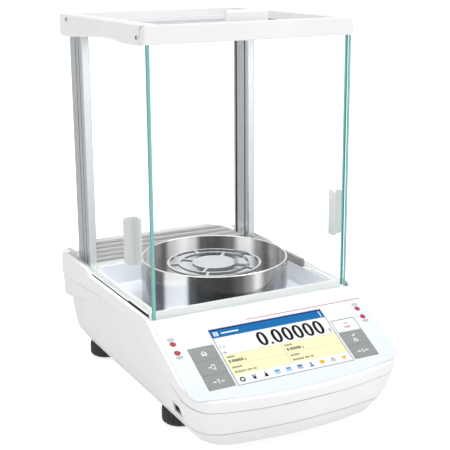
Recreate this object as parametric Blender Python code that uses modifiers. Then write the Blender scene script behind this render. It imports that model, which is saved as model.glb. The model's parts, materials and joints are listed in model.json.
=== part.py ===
"""Analytical balance with a glass draft shield, a sloped touch display and four levelling feet.

Frame: metres, +Z up, -Y towards the operator. The origin is on the bench, under the pan's axis.
"""

import math

import bmesh
import bpy
from mathutils import Matrix, Vector

# Clearances and wall sizes
GAP = 0.0003
SHELL = 0.003
GLASS = 0.0032

# Housing
BODY_HALF_WIDTH = 0.103
BODY_HALF_LENGTH = 0.1665
HULL_BOTTOM = 0.018
CREASE_Z = 0.0320
PARTING_FRONT_Z = 0.050
PARTING_RISE = 0.045
PARTING_DROP = 0.0065
OVERHANG_Z = 0.0667
DECK_Z = 0.1072
REAR_DECK_Z = 0.112

# Display slope
PANEL_TOP_Y = -0.078
PANEL_TOP_Z = 0.105
PANEL_SLOPE = math.radians(27.7)
PANEL_HALF_WIDTH = 0.0995
PANEL_LENGTH = 0.0965
PANEL_BOW = 0.009
OVERLAY_THICKNESS = 0.001
SCREEN_HALF_WIDTH = 0.0553
SCREEN_TOP_S = 0.0204
SCREEN_BOTTOM_S = 0.0818
KEY_INNER_X = 0.0574
KEY_OUTER_X = 0.0812
KEY_TOP_S = 0.0363
KEY_PITCH = 0.0151
KEY_HEIGHT = 0.0146
SENSOR_X = 0.0906
SENSOR_S = (0.028, 0.0378)
SENSOR_RADIUS = 0.0025

# Draft shield
FRAME_HALF_WIDTH = 0.098
FRAME_FRONT_Y = -0.077
FRAME_BACK_Y = 0.125
FRAME_BOTTOM_Z = 0.3316
FRAME_TOP_Z = 0.3467
BAR_DEPTH = 0.0087
DOOR_INNER_X = 0.0921
DOOR_OUTER_X = DOOR_INNER_X + GLASS
DOOR_FRONT_Y = -0.0722
DOOR_BACK_Y = 0.112
DOOR_BOTTOM_Z = 0.105
DOOR_TOP_Z = 0.339
FRONT_GLASS_Y = -0.0765
FRONT_GLASS_THICKNESS = 0.0036
FRONT_GLASS_BOTTOM_Z = 0.104
POST_INNER_X = 0.0835
POST_OUTER_X = 0.0915
POST_FRONT_Y = 0.086
POST_BACK_Y = 0.116
REAR_GLASS_Y = 0.1096
TOP_GLASS_Z = 0.3361
TOP_OPENING_HALF_WIDTH = 0.082
GRIP_BOTTOM_Z = 0.147
GRIP_TOP_Z = 0.189
SCREW_PLACES = (("front", -0.0626, 0.3369, 0.0022), ("rear", 0.1033, 0.3425, 0.0080))

# Weighing chamber
RAIL_HALF_WIDTH = 0.0982
RAIL_TOP_Z = 0.1075
CHAMBER_BACK_Y = 0.1262
LIP_TOP_Z = 0.111
TRAY_HALF_WIDTH = 0.0883
TRAY_FRONT_Y = -0.0710
TRAY_BACK_Y = 0.080
FLOOR_Z = 0.0875
RING_RADIUS = 0.0680
RING_TOP_Z = 0.1286
PAN_TOP_Z = 0.1216
PAN_RADIUS = 0.044
PAN_THICKNESS = 0.002
BAFFLE_TOP_Z = 0.1295
BAFFLE_FALL_X = 0.036
BAFFLE_FALL_RADIUS = 0.068

# Levelling feet
FOOT_X = 0.064
FOOT_FRONT_Y = -0.057
FOOT_BACK_Y = 0.122
FOOT_RADIUS = 0.0165
FOOT_HEIGHT = 0.0145
STEM_RADIUS = 0.004


# ---------------------------------------------------------------- scene helpers


def clear_scene():
    for obj in list(bpy.data.objects):
        bpy.data.objects.remove(obj, do_unlink=True)


def new_collection(name):
    collection = bpy.data.collections.new(name)
    bpy.context.scene.collection.children.link(collection)
    return collection


clear_scene()
PARTS = new_collection("analytical_balance")
CUTTERS = new_collection("cutters")


def material(name, colour, roughness, metallic=0.0, alpha=1.0):
    made = bpy.data.materials.new(name)
    made.use_nodes = True
    shader = made.node_tree.nodes["Principled BSDF"]
    shader.inputs["Base Color"].default_value = (*colour, 1.0)
    shader.inputs["Roughness"].default_value = roughness
    shader.inputs["Metallic"].default_value = metallic
    shader.inputs["Alpha"].default_value = alpha
    return made


def place(name, data, mat, location=(0, 0, 0), collection=None):
    obj = bpy.data.objects.new(name, data)
    obj.location = location
    if mat:
        data.materials.append(mat)
    (collection or PARTS).objects.link(obj)
    return obj


def mesh_object(name, bm, mat, location=(0, 0, 0), smooth=False, collection=None):
    bmesh.ops.recalc_face_normals(bm, faces=bm.faces)
    mesh = bpy.data.meshes.new(name)
    bm.to_mesh(mesh)
    bm.free()
    if smooth:
        mesh.shade_smooth()
        mesh.set_sharp_from_angle(angle=math.radians(35))
    return place(name, mesh, mat, location, collection)


def as_cutter(obj):
    """Moves a helper to the cutters' collection, drawn as wire and left out of a render."""
    for owner in list(obj.users_collection):
        owner.objects.unlink(obj)
    CUTTERS.objects.link(obj)
    obj.hide_render = True
    obj.display_type = "WIRE"
    return obj


def boolean(obj, other, operation="DIFFERENCE"):
    modifier = obj.modifiers.new(operation.lower(), "BOOLEAN")
    modifier.operation = operation
    modifier.object = as_cutter(other)
    return obj


def bevel(obj, width, segments=2, angle=30):
    modifier = obj.modifiers.new("bevel", "BEVEL")
    modifier.width = width
    modifier.segments = segments
    modifier.limit_method = "ANGLE"
    modifier.angle_limit = math.radians(angle)
    return obj


# ---------------------------------------------------------------- shapes


def box(name, low, high, mat=None, tilt=0.0):
    """A box between two corners. A tilt turns it about X, through its centre."""
    low = Vector(low)
    high = Vector(high)
    bm = bmesh.new()
    bmesh.ops.create_cube(bm, size=1.0)
    bmesh.ops.scale(bm, vec=high - low, verts=bm.verts)
    obj = mesh_object(name, bm, mat, (low + high) / 2)
    obj.rotation_euler.x = tilt
    return obj


def cylinder(name, radius, low, high, mat=None, segments=32, top_radius=None):
    """A cylinder or cone between two points on its axis."""
    low = Vector(low)
    high = Vector(high)
    length = (high - low).length
    bm = bmesh.new()
    end_radius = radius if top_radius is None else top_radius
    bmesh.ops.create_cone(
        bm, cap_ends=True, segments=segments, radius1=radius, radius2=end_radius, depth=length
    )
    obj = mesh_object(name, bm, mat, (low + high) / 2, smooth=True)
    obj.rotation_euler = (high - low).to_track_quat("Z", "Y").to_euler()
    return obj


def turned(name, profile, mat, location=(0, 0, 0), steps=48):
    """A closed (radius, z) profile turned about Z. It runs down the outer side and up the inner side."""
    bm = bmesh.new()
    points = [bm.verts.new((radius, 0, z)) for radius, z in profile]
    for first, second in zip(points, points[1:] + points[:1]):
        if first.co.x > 0 or second.co.x > 0:
            bm.edges.new((first, second))
    mesh = bpy.data.meshes.new(name)
    bm.to_mesh(mesh)
    bm.free()
    obj = place(name, mesh, mat, location)
    screw = obj.modifiers.new("screw", "SCREW")
    screw.axis = "Z"
    screw.angle = math.tau
    screw.steps = steps
    screw.render_steps = steps
    screw.use_merge_vertices = True
    screw.merge_threshold = 0.00001
    screw.use_smooth_shade = True
    return obj


def curve_mesh(name, loops, thickness, mat=None, matrix=None):
    """A flat outline with holes, centred on its own XY plane, made into a welded mesh."""
    curve = bpy.data.curves.new(name, "CURVE")
    curve.dimensions = "2D"
    curve.fill_mode = "BOTH"
    curve.extrude = thickness / 2
    for loop in loops:
        spline = curve.splines.new("POLY")
        spline.points.add(len(loop) - 1)
        for point, (x, y) in zip(spline.points, loop):
            point.co = (x, y, 0, 1)
        spline.use_cyclic_u = True
    drawn = bpy.data.objects.new(name + "_outline", curve)
    bpy.context.scene.collection.objects.link(drawn)
    drawn.matrix_world = matrix or Matrix.Identity(4)
    bpy.context.view_layer.update()
    graph = bpy.context.evaluated_depsgraph_get()
    mesh = bpy.data.meshes.new_from_object(drawn.evaluated_get(graph))
    world = drawn.matrix_world.copy()
    bpy.data.objects.remove(drawn, do_unlink=True)
    bm = bmesh.new()
    bm.from_mesh(mesh)
    bpy.data.meshes.remove(mesh)
    bmesh.ops.remove_doubles(bm, verts=bm.verts, dist=0.00001)
    obj = mesh_object(name, bm, mat)
    obj.matrix_world = world
    return obj


def loft(name, rings, mat=None, closed=False, smooth=True):
    """Quads between rings of equal length. The ends are capped, or the last ring meets the first."""
    bm = bmesh.new()
    made = [[bm.verts.new(point) for point in ring] for ring in rings]
    pairs = list(zip(made, made[1:]))
    if closed:
        pairs.append((made[-1], made[0]))
    else:
        bm.faces.new(list(reversed(made[0])))
        bm.faces.new(made[-1])
    for lower, upper in pairs:
        count = len(lower)
        for i in range(count):
            j = (i + 1) % count
            bm.faces.new((lower[i], lower[j], upper[j], upper[i]))
    return mesh_object(name, bm, mat, smooth=smooth)


def arc(centre, radius, start, end, count):
    """Points on an arc, from start to end in degrees, both ends included."""
    angles = [math.radians(start + (end - start) * i / count) for i in range(count + 1)]
    return [(centre[0] + radius * math.cos(a), centre[1] + radius * math.sin(a)) for a in angles]


def rounded_rectangle(x0, y0, x1, y1, radius, count=4):
    corners = [
        ((x0 + radius, y0 + radius), 180),
        ((x1 - radius, y0 + radius), 270),
        ((x1 - radius, y1 - radius), 0),
        ((x0 + radius, y1 - radius), 90),
    ]
    points = []
    for centre, start in corners:
        points += arc(centre, radius, start, start + 90, count)
    return points


def circle(radius, count, centre=(0, 0)):
    return arc(centre, radius, 0, 360 - 360 / count, count - 1)


def bowed_outline(half_width, front, back, front_radius, back_radius, bow, side_steps=16):
    """A plan outline with a bowed front edge and rounded corners, counted anticlockwise.

    The front edge follows y = front + bow * (x / half_width) ** 2, and meets its corners on a tangent.
    """
    curve = bow / half_width**2
    lean = 0.0
    for _ in range(8):
        edge_x = half_width - front_radius + front_radius * math.sin(lean)
        lean = math.atan(2 * curve * edge_x)
    edge_y = front + curve * edge_x**2
    centre = (half_width - front_radius, edge_y + front_radius * math.cos(lean))
    front_steps = 10
    points = []
    for i in range(front_steps):
        x = -edge_x + 2 * edge_x * i / front_steps
        points.append((x, front + curve * x * x))
    right = arc(centre, front_radius, math.degrees(lean) - 90, 0, 5)
    back_centre = (half_width - back_radius, back - back_radius)
    for i in range(1, side_steps):
        y = centre[1] + (back_centre[1] - centre[1]) * i / side_steps
        right.append((half_width, y))
    right += arc(back_centre, back_radius, 0, 90, 6)
    left = [(-x, y) for x, y in reversed(right)]
    return points + right + left[:-1]


def lift(outline, height):
    """Puts a plan outline at a height, which may be a function of y."""
    level = height if callable(height) else lambda y: height
    return [Vector((x, y, level(y))) for x, y in outline]


def smooth_step(value):
    t = min(max(value, 0.0), 1.0)
    return t * t * (3 - 2 * t)


# ---------------------------------------------------------------- housing lines


def parting_z(y):
    """The line between the two housings: it climbs beside the display and sinks a little to the back."""
    climb = min(max((y + 0.165) / 0.160, 0.0), 1.0)
    rise = PARTING_RISE * math.sin(climb * math.pi / 2)
    return PARTING_FRONT_Z + rise - PARTING_DROP * smooth_step((y - 0.020) / 0.100)


def overhang_z(y):
    """The lower edge of the rear overhang, which runs out along the parting line at the front."""
    edge = OVERHANG_Z + 0.0153 * smooth_step((0.129 - y) / 0.073)
    return min(edge, parting_z(y) - 0.003)


def slope_z(y):
    return PANEL_TOP_Z + (y - PANEL_TOP_Y) * math.tan(PANEL_SLOPE)


def panel_matrix(depth=0.0):
    """Panel coordinates: x to the right, y up the slope from its top edge, z out of the panel."""
    turn = Matrix.Rotation(PANEL_SLOPE, 4, "X")
    place_at = Matrix.Translation((0, PANEL_TOP_Y, PANEL_TOP_Z))
    return place_at @ turn @ Matrix.Translation((0, 0, -depth))


def prism(name, profile, half_width):
    """A solid with a (y, z) profile, reaching half_width to both sides."""
    rings = [[Vector((side, y, z)) for y, z in profile] for side in (-half_width, half_width)]
    return loft(name, rings, smooth=False)


# ---------------------------------------------------------------- materials

WHITE = material("housing_white", (0.88, 0.88, 0.89), 0.42)
LOWER_WHITE = material("housing_lower_white", (0.84, 0.84, 0.84), 0.45)
PALE_GREEN = material("chamber_pale_grey", (0.78, 0.80, 0.78), 0.4)
TRAY_BLUE = material("tray_blue_grey", (0.70, 0.74, 0.80), 0.35)
TAUPE = material("baffle_taupe", (0.46, 0.44, 0.43), 0.4)
ALUMINIUM = material("satin_aluminium", (0.70, 0.73, 0.76), 0.35, 1.0)
CAST = material("cast_aluminium", (0.55, 0.56, 0.57), 0.55, 1.0)
STEEL = material("polished_steel", (0.75, 0.74, 0.72), 0.12, 1.0)
CLEAR = material("clear_glass", (0.80, 0.95, 0.92), 0.05, 0.0, 0.3)
GRIP = material("grip_grey", (0.80, 0.82, 0.80), 0.4)
OVERLAY = material("overlay_white", (0.90, 0.93, 0.96), 0.35)
SCREEN = material("screen", (0.15, 0.35, 0.70), 0.2)
KEY_GREY = material("key_grey", (0.45, 0.45, 0.46), 0.5)
KEY_WHITE = material("key_white", (0.92, 0.93, 0.95), 0.4)
SENSOR_RED = material("sensor_red", (0.75, 0.04, 0.05), 0.25)
BOARD = material("circuit_board", (0.05, 0.28, 0.14), 0.5)
BLACK = material("black_plastic", (0.03, 0.03, 0.035), 0.5)
BRASS = material("brass", (0.78, 0.62, 0.30), 0.3, 1.0)
ZINC = material("zinc_screw", (0.60, 0.60, 0.60), 0.35, 1.0)


# ---------------------------------------------------------------- housings


def hull_outline(half_width, inset=0.0, side_steps=16, front=-BODY_HALF_LENGTH, back=BODY_HALF_LENGTH):
    return bowed_outline(
        half_width - inset,
        front + inset,
        back - inset,
        0.024 - inset / 2,
        0.036 - inset,
        0.010,
        side_steps,
    )


def upper_solid(name, inset):
    """The full upper body before its underside and top are cut, at a given inset from the skin."""
    stations = [(0.040, 0.1010), (0.075, 0.1028), (0.098, BODY_HALF_WIDTH), (0.130, 0.1018)]
    rings = [lift(hull_outline(half, inset, 6), z) for z, half in stations]
    return loft(name, rings)


def top_profile(drop):
    """Cutter above the top surface: display slope, side deck, its step, and the rear deck's fall."""
    line = [
        (-0.200, slope_z(-0.200)),
        (PANEL_TOP_Y, PANEL_TOP_Z),
        (PANEL_TOP_Y + 0.004, DECK_Z),
        (0.054, DECK_Z),
        (0.058, DECK_Z + 0.0008),
        (0.066, REAR_DECK_Z - 0.0008),
        (0.070, REAR_DECK_Z),
        (0.120, REAR_DECK_Z - 0.0005),
        (0.145, REAR_DECK_Z - 0.002),
        (0.157, REAR_DECK_Z - 0.005),
        (0.163, REAR_DECK_Z - 0.009),
        (0.168, REAR_DECK_Z - 0.016),
        (0.200, REAR_DECK_Z - 0.016),
    ]
    return [(y, z - drop) for y, z in line] + [(0.200, 0.200), (-0.200, 0.200)]


def under_profile():
    """Cutter below the parting line."""
    ys = [-0.200, -0.165] + [-0.165 + 0.0066 * i for i in range(1, 44)] + [0.200]
    return [(-0.200, 0.010), (0.200, 0.010)] + [(y, parting_z(y) + GAP) for y in reversed(ys)]


def overlay_outline(margin=0.0):
    """The display overlay: straight top, slightly bowed lower edge, rounded lower corners."""
    half = PANEL_HALF_WIDTH + margin
    outline = bowed_outline(half, -PANEL_LENGTH - margin, margin, 0.010, 0.003, PANEL_BOW, 4)
    return outline


def panel_cutter(name, outline, low, high):
    """A cutter with a flat outline on the panel, from low to high along the panel's normal."""
    return curve_mesh(name, [outline], high - low, matrix=panel_matrix(-(low + high) / 2))


def upper_housing():
    shell = upper_solid("upper_housing", 0.0)
    shell.data.materials.append(WHITE)
    cavity = upper_solid("upper_cavity", SHELL)
    boolean(cavity, prism("cavity_top", top_profile(0.005), 0.2))
    boolean(cavity, box("rear_deck_keep", (-0.2, 0.118, 0.100), (0.2, 0.2, 0.2)))
    boolean(shell, prism("upper_top", top_profile(0.0), 0.2))
    boolean(shell, cavity)
    boolean(shell, prism("upper_underside", under_profile(), 0.2))
    opening = RAIL_HALF_WIDTH + 0.0012
    boolean(
        shell,
        box(
            "chamber_opening",
            (-opening, FRAME_FRONT_Y - 0.0006, 0.070),
            (opening, CHAMBER_BACK_Y + 0.0005, 0.150),
        ),
    )
    boolean(shell, panel_cutter("overlay_recess", overlay_outline(GAP), -0.0013, 0.010))
    window = rounded_rectangle(-0.0845, -0.0845, 0.0845, -0.0175, 0.002, 2)
    boolean(shell, panel_cutter("display_window", window, -0.012, 0.010))
    for side in (-1, 1):
        x0, x1 = sorted((side * 0.0913, side * 0.0961))
        boolean(shell, box("door_channel", (x0, 0.100, 0.1042), (x1, 0.180, 0.150)))
        for s in SENSOR_S:
            hole = circle(SENSOR_RADIUS + GAP, 20, (side * SENSOR_X, -s))
            boolean(shell, panel_cutter("sensor_bore", hole, -0.012, 0.010))
    boolean(shell, cylinder("level_pocket", 0.0093, (0, 0.142, 0.1035), (0, 0.142, 0.13)))
    return shell


def lower_housing():
    """A band of plastic, open at the top and the bottom, from the parting line down to the base plate."""

    def waisted(outline, pull):
        """Draws the outline in under the overhang, by up to pull."""
        result = []
        for x, y in outline:
            amount = pull * smooth_step((y - 0.020) / 0.070)
            scale_x = 1 - amount / BODY_HALF_WIDTH
            result.append((x * scale_x, y - amount * max(0.0, y) / BODY_HALF_LENGTH))
        return result

    def mid_z(y):
        return CREASE_Z + 0.45 * (overhang_z(y) - CREASE_Z)

    def ledge(offset):
        return lambda y: overhang_z(y) + offset

    def rim(y):
        return parting_z(y) - GAP

    bottom = hull_outline(0.081, front=-0.158, back=0.151)
    crease = hull_outline(0.0912, front=-0.1648, back=0.158)
    middle = hull_outline(0.0965, front=-0.1660, back=0.162)
    under = hull_outline(0.1010, front=-0.1662, back=0.1655)
    over = hull_outline(0.1016, front=-0.1663, back=0.1660)
    top = hull_outline(0.1024, front=-0.1664, back=0.1663)
    outer = [
        lift(bottom, HULL_BOTTOM),
        lift(crease, CREASE_Z),
        lift(waisted(middle, 0.0015), mid_z),
        lift(waisted(under, 0.0055), ledge(0.0)),
        lift(over, ledge(0.0006)),
        lift(top, rim),
    ]
    thick = SHELL - 0.0004
    inner = [
        lift(hull_outline(0.1024, thick, front=-0.1664, back=0.1663), rim),
        lift(waisted(hull_outline(0.1010, thick, front=-0.1662, back=0.1655), 0.0055), ledge(0.0)),
        lift(waisted(hull_outline(0.0965, thick, front=-0.1660, back=0.162), 0.0015), mid_z),
        lift(hull_outline(0.0912, thick, front=-0.1648, back=0.158), CREASE_Z),
        lift(hull_outline(0.081, thick, front=-0.158, back=0.151), HULL_BOTTOM),
    ]
    shell = loft("lower_housing", outer + inner, LOWER_WHITE, closed=True)
    boolean(shell, box("rear_cutout", (-0.0583, 0.140, 0.0387), (0.0583, 0.180, 0.0613)))
    boolean(shell, box("side_cutout", (-0.120, -0.1243, 0.0362), (-0.080, -0.1087, 0.0461)))
    return shell


def base_plate():
    """Cast base that carries the feet, the cell and the boards."""
    outline = hull_outline(0.0775, front=-0.1545, back=0.1475, side_steps=4)
    plate = loft("base_plate", [lift(outline, 0.0182), lift(outline, 0.0232)], CAST, smooth=False)
    for x, y in foot_places():
        boss = cylinder("foot_boss", 0.009, (x, y, 0.0225), (x, y, 0.034), segments=24)
        boolean(plate, boss, "UNION")
        bore = cylinder("foot_bore", STEM_RADIUS + GAP, (x, y, 0.010), (x, y, 0.040), segments=20)
        boolean(plate, bore)
    return plate


# ---------------------------------------------------------------- display


def key_places():
    """(name, side, row) of each key, from the top of each column."""
    names = (("home", "print", "tare"), ("power", "enter", "zero"))
    for side, column in zip((-1, 1), names):
        for row, name in enumerate(column):
            yield name, side, row


def key_rectangle(side, row, margin=0.0):
    x0, x1 = sorted((side * KEY_INNER_X, side * KEY_OUTER_X))
    top = -(KEY_TOP_S + row * KEY_PITCH)
    return rounded_rectangle(
        x0 - margin, top - KEY_HEIGHT - margin, x1 + margin, top + margin, 0.0006 + margin, 2
    )


def display_parts():
    screen = rounded_rectangle(
        -SCREEN_HALF_WIDTH, -SCREEN_BOTTOM_S, SCREEN_HALF_WIDTH, -SCREEN_TOP_S, 0.0004, 1
    )
    window = rounded_rectangle(
        -SCREEN_HALF_WIDTH - 0.0002,
        -SCREEN_BOTTOM_S - 0.0002,
        SCREEN_HALF_WIDTH + 0.0002,
        -SCREEN_TOP_S + 0.0002,
        0.0006,
        1,
    )
    holes = [window]
    holes += [key_rectangle(side, row, 0.0002) for _, side, row in key_places()]
    for side in (-1, 1):
        holes += [circle(SENSOR_RADIUS + 0.0002, 20, (side * SENSOR_X, -s)) for s in SENSOR_S]
    curve_mesh(
        "panel_overlay",
        [overlay_outline()] + holes,
        OVERLAY_THICKNESS,
        OVERLAY,
        panel_matrix(OVERLAY_THICKNESS / 2),
    )
    curve_mesh("lcd_screen", [screen], 0.0036, SCREEN, panel_matrix(0.0001 + 0.0018))
    board = rounded_rectangle(-0.083, -0.083, 0.083, -0.019, 0.002, 2)
    curve_mesh("display_board", [board], 0.0016, BOARD, panel_matrix(0.0056))
    for name, side, row in key_places():
        colour = KEY_WHITE if name == "power" else KEY_GREY
        key = curve_mesh("key_" + name, [key_rectangle(side, row)], 0.0016, colour, panel_matrix(0.0009))
        centre_key_origin(key)
    for side, hand in ((-1, "left"), (1, "right")):
        for s, level in zip(SENSOR_S, ("upper", "lower")):
            sensor(f"{hand}_{level}_sensor", side * SENSOR_X, s)


def centre_key_origin(obj):
    """Moves a mesh's origin to the middle of its points, so that it sits on the slide's axis."""
    points = [v.co for v in obj.data.vertices]
    middle = sum(points, Vector()) / len(points)
    obj.data.transform(Matrix.Translation(-middle))
    obj.matrix_world = obj.matrix_world @ Matrix.Translation(middle)


def sensor(name, x, s):
    """A proximity sensor's window: a low dome on a short shank."""
    profile = [
        (0.0, 0.0004),
        (0.0016, 0.0002),
        (SENSOR_RADIUS, -0.0003),
        (SENSOR_RADIUS, -0.004),
        (0.0, -0.004),
    ]
    window = turned(name, profile, SENSOR_RED, steps=20)
    window.matrix_world = panel_matrix() @ Matrix.Translation((x, -s, 0))


# ---------------------------------------------------------------- weighing chamber


def chamber_frame():
    """Grey frame in the body's opening: front lip, door rails with their grooves, and the rear bridge."""
    front = FRAME_FRONT_Y + 0.0001
    frame = box(
        "chamber_frame",
        (-RAIL_HALF_WIDTH, front, 0.0825),
        (RAIL_HALF_WIDTH, CHAMBER_BACK_Y, LIP_TOP_Z),
        PALE_GREEN,
    )
    lip_front = FRONT_GLASS_Y + FRONT_GLASS_THICKNESS + GAP
    lip_back = TRAY_FRONT_Y - GAP
    pad_back = -0.028
    boolean(frame, box("above_rails", (-0.2, pad_back, RAIL_TOP_Z), (0.2, 0.2, 0.2)))
    boolean(frame, box("above_pads", (-0.2, lip_back, RAIL_TOP_Z + 0.0015), (0.2, 0.0, 0.2)))
    boolean(frame, box("glass_ledge", (-0.2, -0.2, FRONT_GLASS_BOTTOM_Z - GAP), (0.2, lip_front, 0.2)))
    recess = (TRAY_HALF_WIDTH + GAP, TRAY_FRONT_Y - GAP, TRAY_BACK_Y + GAP)
    boolean(frame, box("tray_recess", (-recess[0], recess[1], 0.0852), (recess[0], recess[2], 0.2)))
    boolean(frame, cylinder("spindle_opening", 0.024, (0, 0, 0.07), (0, 0, 0.1)))
    for side in (-1, 1):
        x0, x1 = sorted((side * (DOOR_INNER_X - 0.0004), side * (DOOR_OUTER_X + 0.0004)))
        boolean(frame, box("door_groove", (x0, lip_front, DOOR_BOTTOM_Z - 0.0006), (x1, 0.2, 0.2)))
        x0, x1 = sorted((side * 0.0915, side * 0.2))
        boolean(frame, box("rail_undercut", (x0, -0.2, 0.05), (x1, 0.2, 0.0965)))
    return frame


def chamber_tray():
    """Thin tray with a coved floor, open for the pan's spindle."""
    wall = 0.0010
    cove = 0.0022

    def ring(inset, z, radius):
        outline = rounded_rectangle(
            -TRAY_HALF_WIDTH + inset,
            TRAY_FRONT_Y + inset,
            TRAY_HALF_WIDTH - inset,
            TRAY_BACK_Y - inset,
            radius,
            3,
        )
        return lift(outline, z)

    def coved(offset, low):
        """Rings down a wall and round the cove to the floor."""
        rings = [ring(offset, RAIL_TOP_Z - 0.0003, 0.010 - offset)]
        for step in range(4):
            angle = math.radians(90 * step / 3)
            reach = cove - offset
            sink = cove - (low - (FLOOR_Z - wall))
            inset = offset + reach * (1 - math.cos(angle))
            rings.append(ring(inset, low + sink * (1 - math.sin(angle)), 0.010))
        return rings

    outer = coved(0.0, FLOOR_Z - wall)
    inner = coved(wall, FLOOR_Z)
    shell = loft("chamber_tray", list(reversed(outer)) + inner, TRAY_BLUE)
    boolean(shell, cylinder("tray_opening", 0.020, (0, 0, 0.07), (0, 0, 0.1)))
    return shell


def rear_baffle():
    """Ridged wall under the rear glass, between the posts. Its top falls in a curve at the right."""
    front = 0.094
    low = RAIL_TOP_Z + GAP
    top = BAFFLE_TOP_Z
    ridges = 5
    pitch = (top - low) / ridges
    profile = [(front + 0.007, low), (front + 0.007, top)]
    for i in range(ridges):
        z = top - i * pitch
        profile += [(front + 0.0012, z), (front, z - 0.0010), (front, z - pitch + 0.0014)]
    profile.append((front + 0.0012, low))
    wall = prism("rear_baffle", profile, POST_INNER_X - GAP)
    wall.data.materials.append(TAUPE)
    centre = (BAFFLE_FALL_X, top - BAFFLE_FALL_RADIUS)
    fall = arc(centre, BAFFLE_FALL_RADIUS, 90, 44, 12)
    outside = [(0.095, fall[-1][1]), (0.095, 0.140), (BAFFLE_FALL_X, 0.140)]
    upright = Matrix.Translation((0, front, 0)) @ Matrix.Rotation(math.pi / 2, 4, "X")
    return boolean(wall, curve_mesh("baffle_fall", [fall + outside], 0.040, matrix=upright))


def door_sill():
    """Low guide wall beside the right door, standing on the rail."""
    low = (0.0863, -0.015, RAIL_TOP_Z + GAP)
    sill = box("right_door_sill", low, (0.0903, POST_FRONT_Y - GAP, 0.1155), TAUPE)
    bevel(sill, 0.001, 1)


def pan_sectors():
    """The pan's openings: ring-shaped sectors between its rims and its disc."""
    band = 0.0022
    spoke = 0.0013
    rings = [
        (0.0335, PAN_RADIUS - band, 5, 18),
        (0.0205, 0.0335 - band, 4, 45),
    ]
    holes = []
    for inner, outer, count, turn in rings:
        for i in range(count):
            start = turn + 360 * i / count
            end = turn + 360 * (i + 1) / count
            outer_edge = math.degrees(spoke / outer)
            inner_edge = math.degrees(spoke / inner)
            rim = arc((0, 0), outer, start + outer_edge, end - outer_edge, 10)
            hub = arc((0, 0), inner, end - inner_edge, start + inner_edge, 8)
            holes.append(rim + hub)
    return holes


def weighing_pan():
    """Open-work pan with a socket that drops over the spindle."""
    level = PAN_TOP_Z - PAN_THICKNESS / 2
    pan = curve_mesh(
        "weighing_pan",
        [circle(PAN_RADIUS, 60)] + pan_sectors(),
        PAN_THICKNESS,
        STEEL,
        Matrix.Translation((0, 0, level)),
    )
    boolean(pan, cylinder("pan_hub", 0.0075, (0, 0, 0.1035), (0, 0, level), segments=28), "UNION")
    boolean(pan, cylinder("pan_socket", 0.0046, (0, 0, 0.1), (0, 0, 0.1186), segments=28))
    return pan


def pan_spindle():
    profile = [
        (0.0, 0.1175),
        (0.0030, 0.1175),
        (0.0042, 0.1150),
        (0.0042, 0.0760),
        (0.0120, 0.0750),
        (0.0120, 0.0723),
        (0.0, 0.0723),
    ]
    return turned("pan_spindle", profile, STEEL, steps=24)


def shield_ring():
    """Draught ring around the pan, with a rolled rim."""
    low = FLOOR_Z + GAP
    profile = [
        (RING_RADIUS - 0.0009, RING_TOP_Z),
        (RING_RADIUS, RING_TOP_Z - 0.0008),
        (RING_RADIUS, low),
        (RING_RADIUS - 0.0012, low),
        (RING_RADIUS - 0.0012, RING_TOP_Z - 0.0022),
        (RING_RADIUS - 0.0018, RING_TOP_Z - 0.0008),
    ]
    return turned("shield_ring", profile, STEEL, steps=72)


# ---------------------------------------------------------------- draft shield


def post_outline(side):
    """Extrusion section: two grooves inside, for the rear glass and a gasket, and two outside."""
    groove = 0.0024
    inner = POST_INNER_X
    outer = POST_OUTER_X
    points = [
        (inner, POST_FRONT_Y + 0.001),
        (inner + 0.001, POST_FRONT_Y),
        (outer - 0.001, POST_FRONT_Y),
        (outer, POST_FRONT_Y + 0.001),
        (outer, 0.0926),
        (outer - 0.0015, 0.0926),
        (outer - 0.0015, 0.0942),
        (outer, 0.0942),
        (outer, 0.1006),
        (outer - 0.0015, 0.1006),
        (outer - 0.0015, 0.1024),
        (outer, 0.1024),
        (outer, POST_BACK_Y),
        (inner, POST_BACK_Y),
        (inner, REAR_GLASS_Y + GLASS + GAP),
        (inner + groove, REAR_GLASS_Y + GLASS + GAP),
        (inner + groove, REAR_GLASS_Y - GAP),
        (inner, REAR_GLASS_Y - GAP),
        (inner, 0.0942),
        (inner + 0.0016, 0.0942),
        (inner + 0.0016, 0.0918),
        (inner, 0.0918),
    ]
    return [(side * x, y) for x, y in points]


def posts():
    low = RAIL_TOP_Z + GAP
    high = FRAME_BOTTOM_Z - GAP
    for side, hand in ((-1, "left"), (1, "right")):
        middle = Matrix.Translation((0, 0, (low + high) / 2))
        curve_mesh(f"{hand}_post", [post_outline(side)], high - low, ALUMINIUM, middle)


def glass_pane(name, low, high):
    return bevel(box(name, low, high, CLEAR), 0.0004, 1)


def fixed_glass():
    half = POST_INNER_X + 0.0021
    glass_pane(
        "rear_glass",
        (-half, REAR_GLASS_Y, RAIL_TOP_Z + GAP),
        (half, REAR_GLASS_Y + GLASS, FRAME_BOTTOM_Z - GAP),
    )
    glass_pane(
        "front_glass",
        (-0.0955, FRONT_GLASS_Y, FRONT_GLASS_BOTTOM_Z),
        (0.0955, FRONT_GLASS_Y + FRONT_GLASS_THICKNESS, FRAME_BOTTOM_Z - GAP),
    )


def skirt_z(y):
    """Lower edge of the top frame's sides: deepest over the posts, with a shallow bow near the front."""
    rear = 0.0052 * smooth_step((y - 0.008) / 0.108)
    front = 0.0017 * smooth_step((-0.002 - y) / 0.036) - 0.0008 * smooth_step((-0.050 - y) / 0.018)
    return FRAME_BOTTOM_Z - rear - front


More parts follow.
